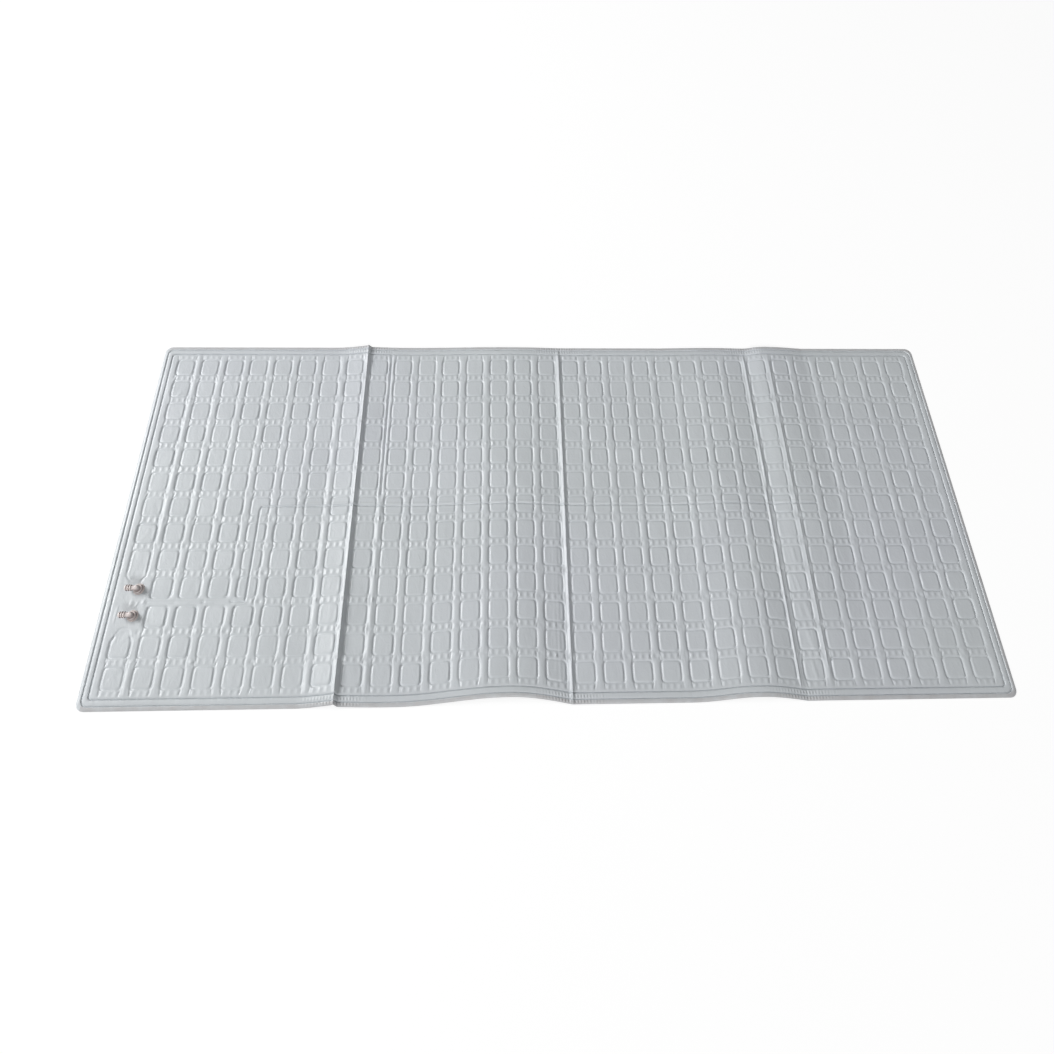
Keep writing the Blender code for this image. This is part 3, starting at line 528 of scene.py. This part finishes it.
def film_piece(name, fine, shape, coarse, back_level, faces_up):
    """A closed film: a shaped face on a fine grid, a plain one on a coarse grid, and its rim."""
    grid_x, grid_y = np.meshgrid(*fine, indexing="ij")
    shaped = place_points(grid_x, grid_y, shape(grid_x, grid_y)).reshape(-1, 3)
    plain = place_points(grid_x, grid_y, np.full(grid_x.shape, back_level)).reshape(-1, 3)
    number = np.arange(grid_x.size).reshape(grid_x.shape)

    stops = [[int(np.argmin(abs(lines - line))) for line in few] for lines, few in zip(fine, coarse)]
    used = np.zeros(grid_x.shape, bool)
    used[np.ix_(*stops)] = True
    used[[0, -1], :] = True
    used[:, [0, -1]] = True
    kept = np.flatnonzero(used.ravel())
    twin = np.full(grid_x.size, -1)
    twin[kept] = len(shaped) + np.arange(len(kept))

    quads = np.stack((number[:-1, :-1], number[1:, :-1], number[1:, 1:], number[:-1, 1:]), axis=-1)
    faces = quads.reshape(-1, 4).tolist()
    ring = np.concatenate((number[:-1, 0], number[-1, :-1], number[:0:-1, -1], number[0, :0:-1]))
    for here, ahead in zip(ring, np.roll(ring, -1)):
        faces.append([int(here), int(twin[here]), int(twin[ahead]), int(ahead)])
    faces += [[int(twin[point]) for point in loop] for loop in coarse_loops(number, *stops)]
    if not faces_up:
        faces = [face[::-1] for face in faces]
    mesh = bpy.data.meshes.new(name)
    mesh.from_pydata(np.concatenate((shaped, plain[kept])).tolist(), [], faces)
    mesh.shade_smooth()
    mesh.set_sharp_from_angle(angle=FILM_SHARP_ANGLE)

    # Where the upper film takes a darker brown-grey band: within the flange, along every edge but the left
    # one
    edge_band = (edge_distance(grid_x, grid_y) < FLANGE) & (grid_x > FLANGE - HALF_LENGTH)
    for attribute, values in (("teeth", serration(grid_x, grid_y)), ("flange", edge_band)):
        strength = (values * faces_up).ravel()
        values = np.concatenate((strength, 0 * strength[kept])).astype(np.float32)
        mesh.attributes.new(attribute, "FLOAT", "POINT").data.foreach_set("value", values)
    return placed(name, mesh)


class Nodes:
    """Short ways to add nodes to one material."""

    def __init__(self, name):
        self.material = bpy.data.materials.new(name)
        self.material.use_nodes = True
        self.tree = self.material.node_tree
        self.shader = self.tree.nodes["Principled BSDF"]
        self.coordinates = self.add("ShaderNodeTexCoord").outputs["Object"]

    def add(self, kind, **settings):
        """A node with its settings."""
        node = self.tree.nodes.new(kind)
        for key, value in settings.items():
            setattr(node, key, value)
        return node

    def link(self, source, target):
        """Join two sockets."""
        self.tree.links.new(source, target)

    def noise(self, scale, detail=3, distortion=0, stretch=None):
        """Noise in the object's own space."""
        node = self.add("ShaderNodeTexNoise")
        node.inputs["Scale"].default_value = scale
        node.inputs["Detail"].default_value = detail
        node.inputs["Distortion"].default_value = distortion
        source = self.coordinates
        if stretch:
            mapping = self.add("ShaderNodeMapping")
            mapping.inputs["Scale"].default_value = stretch
            self.link(source, mapping.inputs["Vector"])
            source = mapping.outputs["Vector"]
        self.link(source, node.inputs["Vector"])
        return node.outputs["Fac"]

    def span(self, source, low, high, start=0.3, end=0.7):
        """A value moved into another range."""
        node = self.add("ShaderNodeMapRange")
        node.inputs["From Min"].default_value = start
        node.inputs["From Max"].default_value = end
        node.inputs["To Min"].default_value = low
        node.inputs["To Max"].default_value = high
        self.link(source, node.inputs["Value"])
        return node.outputs["Result"]

    def attribute(self, name):
        """A number kept in the mesh."""
        return self.add("ShaderNodeAttribute", attribute_name=name).outputs["Fac"]

    def wave(self, pitch):
        """A wave along X."""
        parts = self.add("ShaderNodeSeparateXYZ")
        self.link(self.coordinates, parts.inputs[0])
        turns = self.add("ShaderNodeMath", operation="MULTIPLY")
        turns.inputs[1].default_value = 2 * math.pi / pitch
        self.link(parts.outputs["X"], turns.inputs[0])
        wave = self.add("ShaderNodeMath", operation="SINE")
        self.link(turns.outputs[0], wave.inputs[0])
        return wave.outputs[0]

    def product(self, first, second):
        """Two values multiplied."""
        node = self.add("ShaderNodeMath", operation="MULTIPLY")
        self.link(first, node.inputs[0])
        self.link(second, node.inputs[1])
        return node.outputs[0]

    def blend(self, factor, dark, light):
        """A colour between two others, each a colour or a socket, by a factor's socket."""
        node = self.add("ShaderNodeMix", data_type="RGBA")
        self.link(factor, node.inputs["Factor"])
        for name, colour in (("A", dark), ("B", light)):
            socket = [item for item in node.inputs if item.name == name and item.type == "RGBA"][0]
            if isinstance(colour, tuple):
                socket.default_value = (*colour, 1)
            else:
                self.link(colour, socket)
        return [item for item in node.outputs if item.type == "RGBA"][0]

    def bump(self, heights):
        """Bumps stacked on each other, each a height socket with its depth."""
        normal = None
        for source, depth in heights:
            node = self.add("ShaderNodeBump")
            node.inputs["Distance"].default_value = depth
            self.link(source, node.inputs["Height"])
            if normal:
                self.link(normal, node.inputs["Normal"])
            normal = node.outputs["Normal"]
        self.link(normal, self.shader.inputs["Normal"])


# Vinyl: colours (light, dark, cooler tint, darker brown-grey edge band), roughness, scales of its noises,
# their bumps
UPPER_COLOURS = ((0.62, 0.653, 0.673), (0.58, 0.611, 0.63), (0.595, 0.617, 0.66), (0.47, 0.45, 0.45))
LOWER_COLOURS = ((0.58, 0.61, 0.63), (0.53, 0.56, 0.58), (0.55, 0.57, 0.61), (0.47, 0.45, 0.45))
VINYL_ROUGHNESS = (0.3, 0.42)
VINYL_IOR = 1.45
CLOUD_SCALE = 7
TINT_SCALE = 2.3
EDGE_BAND_SCALE = 60
GLOSS_SCALE = 40
CREASE_SCALE = 28
CREASE_BUMP = 0.8 * MM
CRINKLE_SCALE = 85
CRINKLE_BUMP = 0.35 * MM
GRAIN_SCALE = 900
GRAIN_BUMP = 0.05 * MM

# Fittings' plastic: colours (light, dark, and a painted shade for faces that turn downwards), and how it
# lets light in
PLASTIC_AND_PAINTED_SHADE_COLOURS = ((0.78, 0.71, 0.68), (0.6, 0.53, 0.515), (0.24, 0.18, 0.19))
PLASTIC_ROUGHNESS = (0.22, 0.36)
FLOW_SCALE = 160
PLASTIC_GLOSS_SCALE = 500
PLASTIC_GRAIN_SCALE = 700
PLASTIC_GRAIN_BUMP = 0.03 * MM
PLASTIC_SUBSURFACE = 0.15
PLASTIC_DEPTH = 1 * MM
PLASTIC_DEPTH_SHARES = (1, 0.85, 0.8)

# Sealing rings' rubber
RUBBER_COLOURS = ((0.02, 0.02, 0.02), (0.05, 0.05, 0.05))
RUBBER_ROUGHNESS = (0.5, 0.7)
RUBBER_CLOUD_SCALE = 400
RUBBER_GLOSS_SCALE = 900
RUBBER_GRAIN_SCALE = 1500
RUBBER_GRAIN_BUMP = 0.02 * MM


def vinyl(name, light, dark, tint, edge):
    """Satin vinyl with faint clouds, a cooler tint in places, a fine grain and the edge's teeth."""
    nodes = Nodes(name)
    clouds = nodes.span(nodes.noise(CLOUD_SCALE, detail=5, distortion=0.4), 0, 1)
    colour = nodes.blend(clouds, dark, light)
    tinted = nodes.span(nodes.noise(TINT_SCALE, detail=2), 0, 0.6, start=0.45, end=0.7)
    colour = nodes.blend(tinted, colour, tint)
    # The darker brown-grey band, in patches, where the flange attribute is set
    edge_band = nodes.blend(nodes.span(nodes.noise(EDGE_BAND_SCALE, detail=3), 0.3, 0.7), colour, edge)
    colour = nodes.blend(nodes.attribute("flange"), colour, edge_band)
    nodes.link(colour, nodes.shader.inputs["Base Color"])
    gloss = nodes.span(nodes.noise(GLOSS_SCALE, detail=4), *VINYL_ROUGHNESS)
    nodes.link(gloss, nodes.shader.inputs["Roughness"])
    teeth = nodes.product(nodes.wave(SERRATION_PITCH), nodes.attribute("teeth"))
    creases = nodes.noise(CREASE_SCALE, detail=4, distortion=0.8, stretch=(1.6, 0.8, 1))
    crinkle = nodes.noise(CRINKLE_SCALE, detail=5, distortion=1.8, stretch=(1, 0.7, 1))
    grain = nodes.noise(GRAIN_SCALE, detail=2)
    nodes.bump(((creases, CREASE_BUMP), (crinkle, CRINKLE_BUMP), (grain, GRAIN_BUMP),
                (teeth, SERRATION_RISE)))
    nodes.shader.inputs["IOR"].default_value = VINYL_IOR
    return nodes.material


def plastic(name, light, dark, shade):
    """Milky moulded plastic with faint flow marks, and painted shade on the faces that turn downwards."""
    nodes = Nodes(name)
    clouds = nodes.span(nodes.noise(FLOW_SCALE, detail=4, distortion=0.6), 0, 1)
    # Painted shade: the more a face turns downwards, the more of the dark shade colour it takes, up to 0.9
    # of it
    parts = nodes.add("ShaderNodeSeparateXYZ")
    nodes.link(nodes.add("ShaderNodeTexCoord").outputs["Normal"], parts.inputs[0])
    below = nodes.span(parts.outputs["Z"], 0.9, 0, start=-0.3, end=0.6)
    colour = nodes.blend(below, nodes.blend(clouds, dark, light), shade)
    nodes.link(colour, nodes.shader.inputs["Base Color"])
    gloss = nodes.span(nodes.noise(PLASTIC_GLOSS_SCALE), *PLASTIC_ROUGHNESS)
    nodes.link(gloss, nodes.shader.inputs["Roughness"])
    nodes.bump(((nodes.noise(PLASTIC_GRAIN_SCALE, detail=3), PLASTIC_GRAIN_BUMP),))
    nodes.shader.inputs["Subsurface Weight"].default_value = PLASTIC_SUBSURFACE
    nodes.shader.inputs["Subsurface Scale"].default_value = PLASTIC_DEPTH
    nodes.shader.inputs["Subsurface Radius"].default_value = PLASTIC_DEPTH_SHARES
    return nodes.material


def rubber(name, dark, light):
    """Dull black rubber with a fine grain."""
    nodes = Nodes(name)
    clouds = nodes.span(nodes.noise(RUBBER_CLOUD_SCALE), 0, 1)
    nodes.link(nodes.blend(clouds, dark, light), nodes.shader.inputs["Base Color"])
    gloss = nodes.span(nodes.noise(RUBBER_GLOSS_SCALE), *RUBBER_ROUGHNESS)
    nodes.link(gloss, nodes.shader.inputs["Roughness"])
    nodes.bump(((nodes.noise(RUBBER_GRAIN_SCALE), RUBBER_GRAIN_BUMP),))
    return nodes.material


def wear(piece, material):
    """Give a piece its material."""
    piece.data.materials.clear()
    piece.data.materials.append(material)


# Stretches of the films: the columns at which they meet, their names, the panels they stand for
SEAM_COLUMNS = (0, 10, 20, COLUMNS)
PIECE_NAMES = ("left", "middle", "right")
PIECE_PANELS = ((1,), (2, 3), (4,))


def make_films():
    """Three stretches of each film, each of which holds one fold."""
    upper_vinyl = vinyl("upper_vinyl", *UPPER_COLOURS)
    lower_vinyl = vinyl("lower_vinyl", *LOWER_COLOURS)
    fine_y = lines_across(FINE_Y, True)
    under_y = lines_across(UNDER_OFFSETS, False)
    coarse_y = [-HALF_WIDTH] + [row_edge(row) for row in range(ROWS + 1)] + [HALF_WIDTH]
    past_border = (BORDER_OFFSETS[-1] + MARGIN) / 2
    for index, name in enumerate(PIECE_NAMES):
        first, last = SEAM_COLUMNS[index], SEAM_COLUMNS[index + 1]
        fine_x = lines_along(first, last, FINE_X + COARSE_X, True)
        under_x = lines_along(first, last, UNDER_OFFSETS + COARSE_X, False)
        lines_x = lines_along(first, last, COARSE_X, False)
        coarse_x = [line for line in lines_x
                    if line in (lines_x[0], lines_x[-1]) or HALF_LENGTH - abs(line) > past_border]
        coarse = (coarse_x, coarse_y)
        upper = film_piece(f"upper_film_{name}", (fine_x, fine_y), upper_level, coarse, UPPER_BASE, True)
        lower = film_piece(f"lower_film_{name}", (under_x, under_y), under_level, coarse, LOWER_FILM, False)
        for piece, layer, material, below in (
            (upper, "upper", upper_vinyl, [lower]), (lower, "lower", lower_vinyl, []),
        ):
            wear(piece, material)
            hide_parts(*[f"{layer}_film_panel_{panel}" for panel in PIECE_PANELS[index]])
            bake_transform(piece)


# Two arcs share a side of an outline, so each takes a little less than half of it
ARC_SPLIT = 2.1


def rounded(corners, radius, steps=4):
    """An outline with each corner but the first and last turned into a short arc."""
    points = [Vector(corners[0])]
    for before, corner, after in zip(corners, corners[1:], corners[2:]):
        corner = Vector(corner)
        back, ahead = Vector(before) - corner, Vector(after) - corner
        reach = min(radius, back.length / ARC_SPLIT, ahead.length / ARC_SPLIT)
        start, end = corner + back.normalized() * reach, corner + ahead.normalized() * reach
        for step in range(steps + 1):
            share = step / steps
            points.append(start.lerp(corner, share).lerp(corner.lerp(end, share), share))
    points.append(Vector(corners[-1]))
    return points


def turned(name, outline, closed, steps=72):
    """Turn an outline of (radius, height), listed up its outer side, about the Z axis."""
    bm = bmesh.new()
    verts = [bm.verts.new((point[0], 0, point[1])) for point in outline]
    pairs = zip(verts, verts[1:] + verts[:1]) if closed else zip(verts, verts[1:])
    edges = [bm.edges.new(pair) for pair in pairs]
    bmesh.ops.spin(bm, geom=verts + edges, axis=(0, 0, 1), cent=(0, 0, 0), angle=2 * math.pi,
                   steps=steps, use_merge=True)
    bmesh.ops.remove_doubles(bm, verts=bm.verts, dist=MERGE_DISTANCE)
    bmesh.ops.recalc_face_normals(bm, faces=bm.faces)
    mesh = bpy.data.meshes.new(name)
    bm.to_mesh(mesh)
    bm.free()
    return placed(name, mesh)


def combine(piece, other, operation):
    """Join or cut a piece with another, which is then removed."""
    change = piece.modifiers.new(operation, "BOOLEAN")
    change.operation = operation
    change.solver = "EXACT"
    change.object = other
    bpy.context.view_layer.update()
    shaped = piece.evaluated_get(bpy.context.evaluated_depsgraph_get())
    mesh = bpy.data.meshes.new_from_object(shaped)
    piece.modifiers.clear()
    piece.data = mesh
    bpy.data.objects.remove(other, do_unlink=True)


def finish_fitting(piece, node, material, body):
    """Smooth a fitting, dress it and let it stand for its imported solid."""
    piece.data.shade_smooth()
    piece.data.set_sharp_from_angle(angle=FITTING_SHARP_ANGLE)
    wear(piece, material)
    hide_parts(node)
    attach(piece, body)


def rod(name, radius, start, end, steps=48):
    """A cylinder from one point to another."""
    bm = bmesh.new()
    axis = Vector(end) - Vector(start)
    turn = axis.to_track_quat("Z", "Y").to_matrix().to_4x4()
    place = Matrix.Translation((Vector(start) + Vector(end)) / 2) @ turn
    bmesh.ops.create_cone(bm, cap_ends=True, segments=steps, radius1=radius, radius2=radius,
                          depth=axis.length, matrix=place)
    mesh = bpy.data.meshes.new(name)
    bm.to_mesh(mesh)
    bm.free()
    return placed(name, mesh)


# Fittings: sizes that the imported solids' boxes don't give
MERGE_DISTANCE = 0.001 * MM
FITTING_SHARP_ANGLE = math.radians(40)
FILLET = 0.3 * MM
CLEARANCE = 0.3 * MM
DISC_THICKNESS = 1.2 * MM
SEAT_THICKNESS = 1 * MM
SEAT_BORE = 2.4 * MM
BOSS_RADIUS = 6.2 * MM
BOSS_BORE = 4.6 * MM
COLLAR_STEPS = 96
COLLAR_GAP = 0.7 * MM
COLLAR_LIP = 0.8 * MM
COLLAR_TAPER = 0.3 * MM
COLLAR_CHAMFER = 1 * MM
COLLAR_TOP_INSET = 1.2 * MM
GRIP_FLUTES = 24
FLUTE_DEPTH = 0.3 * MM
FLUTE_BAND = 0.5 * MM
POST_RADIUS = 4.6 * MM
STEM_RADIUS = 4.3 * MM
SHOULDER_THICKNESS = 1 * MM
GROOVE_RADIUS = 3 * MM
DOME_START = 2.2 * MM
DOME_INSET = 1.2 * MM
DOME_DROP = 0.4 * MM
WATER_BORE = 2.1 * MM
BORE_EXTRA = 1 * MM
SPIGOT_RADIUS = 4.3 * MM
SPIGOT_TIP_RADIUS = 4 * MM
BARBS = 3
BARB_RADIUS = 5.7 * MM
BARB_LENGTH = 3.8 * MM
BARB_EDGE = 0.8 * MM
BARB_GAP = 0.3 * MM


def make_flange(port, material):
    """Welded disc with a filleted boss."""
    low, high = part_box(f"{port}_flange")
    disc_top = low.z + DISC_THICKNESS
    seat_top = low.z + SEAT_THICKNESS
    radius = (high.x - low.x) / 2
    outline = [
        (SEAT_BORE, low.z), (radius, low.z), (radius, low.z + DISC_THICKNESS / 2),
        (BOSS_RADIUS + DISC_THICKNESS, disc_top), (BOSS_RADIUS, disc_top), (BOSS_RADIUS, high.z),
        (BOSS_BORE, high.z), (BOSS_BORE, seat_top), (SEAT_BORE, seat_top), (SEAT_BORE, low.z),
    ]
    piece = turned(f"{port}_disc", rounded(outline, FILLET)[:-1], True)
    piece.location = ((low.x + high.x) / 2, (low.y + high.y) / 2, 0)
    finish_fitting(piece, f"{port}_flange", material, "panel_1")


def make_collar(port, material):
    """Grip ring with flutes round its skirt."""
    low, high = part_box(f"{port}_collar")
    radius = (high.x - low.x) / 2
    bore = BOSS_RADIUS + COLLAR_GAP
    lip = POST_RADIUS + CLEARANCE
    outline = [
        (bore, low.z), (radius, low.z), (radius - COLLAR_TAPER, high.z - COLLAR_CHAMFER),
        (radius - COLLAR_TOP_INSET, high.z), (lip, high.z), (lip, high.z - COLLAR_LIP),
        (bore, high.z - COLLAR_LIP), (bore, low.z),
    ]
    piece = turned(f"{port}_grip_ring", rounded(outline, FILLET)[:-1], True, steps=COLLAR_STEPS)
    for vert in piece.data.vertices:
        across = vert.co.xy.length
        share = (math.cos(math.atan2(vert.co.y, vert.co.x) * GRIP_FLUTES) + 1) / 2
        if across > radius - FLUTE_BAND:
            vert.co.xy *= 1 - FLUTE_DEPTH * share / across
    piece.location = ((low.x + high.x) / 2, (low.y + high.y) / 2, 0)
    finish_fitting(piece, f"{port}_collar", material, "panel_1")


def make_elbow(port, material):
    """Barbed elbow: stem, shoulder, domed post and spigot, bored through."""
    low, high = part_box(f"{port}_elbow")
    y = (low.y + high.y) / 2
    shoulder = (high.y - low.y) / 2
    x = high.x - shoulder
    reach = x - low.x
    shoulder_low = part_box(f"{port}_flange")[1].z + CLEARANCE
    shoulder_high = shoulder_low + SHOULDER_THICKNESS
    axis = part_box(f"{port}_collar")[1].z + CLEARANCE + SPIGOT_RADIUS
    ring_low, ring_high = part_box(f"{port}_o_ring")
    outline = [
        (0, low.z), (STEM_RADIUS, low.z), (STEM_RADIUS, ring_low.z - CLEARANCE),
        (GROOVE_RADIUS, ring_low.z - CLEARANCE), (GROOVE_RADIUS, ring_high.z + CLEARANCE),
        (STEM_RADIUS, ring_high.z + CLEARANCE), (STEM_RADIUS, shoulder_low), (shoulder, shoulder_low),
        (shoulder, shoulder_high), (POST_RADIUS, shoulder_high), (POST_RADIUS, axis + DOME_START),
        (POST_RADIUS - DOME_INSET, high.z - DOME_DROP), (0, high.z),
    ]
    piece = turned(f"{port}_barbed_elbow", rounded(outline, FILLET * 2), False)
    side = [(0, 0), (SPIGOT_RADIUS, 0)]
    for index in range(BARBS):
        base = reach - (BARBS - index) * BARB_LENGTH
        side += [(SPIGOT_RADIUS, base), (BARB_RADIUS, base)]
        side += [(BARB_RADIUS, base + BARB_EDGE), (SPIGOT_RADIUS, base + BARB_LENGTH - BARB_GAP)]
    side[-1] = (SPIGOT_TIP_RADIUS, reach)
    side.append((0, reach))
    spigot = turned(f"{port}_spigot", rounded(side, FILLET), False)
    spigot.rotation_euler = (0, -math.pi / 2, 0)
    spigot.location = (0, 0, axis)
    combine(piece, spigot, "UNION")
    overlap = WATER_BORE / 2
    for name, start, end in (
        ("riser", (0, 0, low.z - BORE_EXTRA), (0, 0, axis + overlap)),
        ("run", (overlap, 0, axis), (-reach - BORE_EXTRA, 0, axis)),
    ):
        combine(piece, rod(name, WATER_BORE, start, end), "DIFFERENCE")
    piece.location = (x, y, 0)
    finish_fitting(piece, f"{port}_elbow", material, f"{port}_swivel")


def make_ports():
    """Both hose fittings."""
    material = plastic("port_plastic", *PLASTIC_AND_PAINTED_SHADE_COLOURS)
    ring = rubber("ring_rubber", *RUBBER_COLOURS)
    for port in ("outlet", "inlet"):
        make_flange(port, material)
        make_collar(port, material)
        make_elbow(port, material)
        for spot in frame["nodes"][f"{port}_o_ring"].material_slots:
            spot.material = ring


# Studio: lamp name, place, size and watts
LAMPS = (
    ("key", (-4.5, 1.35, 3.1), 2.6, 264),
    ("front", (0.4, -12.4, 9.6), 3.6, 900),
)
FILL_STRENGTH = 0.11
FLOOR_HALF = 15
FLOOR_SHADE = 0.88
FLOOR_DROP = 0.2 * MM
FLOOR_GLOW = 1.08
FLOOR_GLOW_SHARE = 0.8

# Camera, fitted to the pattern: angles in degrees, picture of 1054 x 1054 pixels
PICTURE = 1054
CAMERA_AZIMUTH = math.radians(-4.371)
CAMERA_ELEVATION = math.radians(60.069)
CAMERA_ROLL = math.radians(3.901)
CAMERA_DISTANCE = 1.6162
CAMERA_TARGET = (-0.04, 0.3263, 0)
CAMERA_FOCUS_PX = 757.2
CAMERA_CENTRE_PX = 358
SENSOR = 36


def camera_ray_share(tree):
    """A value of 1 where the camera sees a surface, directly or in gloss or glass."""
    path = tree.nodes.new("ShaderNodeLightPath")
    total = path.outputs["Is Camera Ray"]
    for name in ("Is Glossy Ray", "Is Transmission Ray"):
        both = tree.nodes.new("ShaderNodeMath")
        both.operation = "MAXIMUM"
        tree.links.new(total, both.inputs[0])
        tree.links.new(path.outputs[name], both.inputs[1])
        total = both.outputs[0]
    return total


def make_world():
    """White behind everything, and a softer even light on the object."""
    world = bpy.data.worlds.new("studio")
    world.use_nodes = True
    bpy.context.scene.world = world
    tree = world.node_tree
    background = tree.nodes["Background"]
    background.inputs["Color"].default_value = (1, 1, 1, 1)
    strength = tree.nodes.new("ShaderNodeMix")
    strength.inputs["A"].default_value = FILL_STRENGTH
    strength.inputs["B"].default_value = 1
    tree.links.new(camera_ray_share(tree), strength.inputs["Factor"])
    tree.links.new(strength.outputs["Result"], background.inputs["Strength"])


def make_floor():
    """Plain white floor that keeps a soft shadow."""
    mesh = bpy.data.meshes.new("floor")
    corners = [(x * FLOOR_HALF, y * FLOOR_HALF, 0) for x, y in ((-1, -1), (1, -1), (1, 1), (-1, 1))]
    mesh.from_pydata(corners, [], [(0, 1, 2, 3)])
    floor = placed("floor", mesh)
    floor.location.z = -FLOOR_DROP
    material = bpy.data.materials.new("floor")
    material.use_nodes = True
    tree = material.node_tree
    tree.nodes.clear()
    matt = tree.nodes.new("ShaderNodeBsdfDiffuse")
    matt.inputs["Color"].default_value = (FLOOR_SHADE, FLOOR_SHADE, FLOOR_SHADE, 1)
    glow = tree.nodes.new("ShaderNodeEmission")
    glow.inputs["Strength"].default_value = FLOOR_GLOW
    share = tree.nodes.new("ShaderNodeMath")
    share.operation = "MULTIPLY"
    share.inputs[1].default_value = FLOOR_GLOW_SHARE
    tree.links.new(camera_ray_share(tree), share.inputs[0])
    mix = tree.nodes.new("ShaderNodeMixShader")
    output = tree.nodes.new("ShaderNodeOutputMaterial")
    tree.links.new(share.outputs[0], mix.inputs["Fac"])
    tree.links.new(matt.outputs[0], mix.inputs[1])
    tree.links.new(glow.outputs[0], mix.inputs[2])
    tree.links.new(mix.outputs[0], output.inputs["Surface"])
    mesh.materials.append(material)


def make_lamps():
    """A window at the left and a weaker one at the front right."""
    for name, place, size, watts in LAMPS:
        lamp = bpy.data.lights.new(name, "AREA")
        lamp.shape = "DISK"
        lamp.size = size
        lamp.energy = watts
        holder = placed(name, lamp)
        holder.location = place
        holder.rotation_euler = (-Vector(place)).to_track_quat("-Z", "Y").to_euler()


def make_camera():
    """Camera at the photograph's place."""
    level = math.cos(CAMERA_ELEVATION)
    back = Vector((
        math.sin(CAMERA_AZIMUTH) * level, -math.cos(CAMERA_AZIMUTH) * level, math.sin(CAMERA_ELEVATION)))
    right = Vector((0, 0, 1)).cross(back).normalized()
    up = back.cross(right)
    turn = Matrix.Rotation(CAMERA_ROLL, 3, back)
    right, up = turn @ right, turn @ up
    camera = placed("camera", bpy.data.cameras.new("camera"))
    camera.matrix_world = Matrix((right, up, back)).transposed().to_4x4()
    camera.location = Vector(CAMERA_TARGET) + back * CAMERA_DISTANCE
    camera.data.sensor_width = SENSOR
    camera.data.lens = CAMERA_FOCUS_PX / PICTURE * SENSOR
    camera.data.shift_y = (CAMERA_CENTRE_PX - PICTURE / 2) / PICTURE
    camera.data.dof.use_dof = False
    bpy.context.scene.camera = camera


bpy.context.scene.view_settings.view_transform = "Standard"
make_camera()
make_world()
make_floor()
make_lamps()
make_films()
make_ports()

bpy.context.view_layer.update()
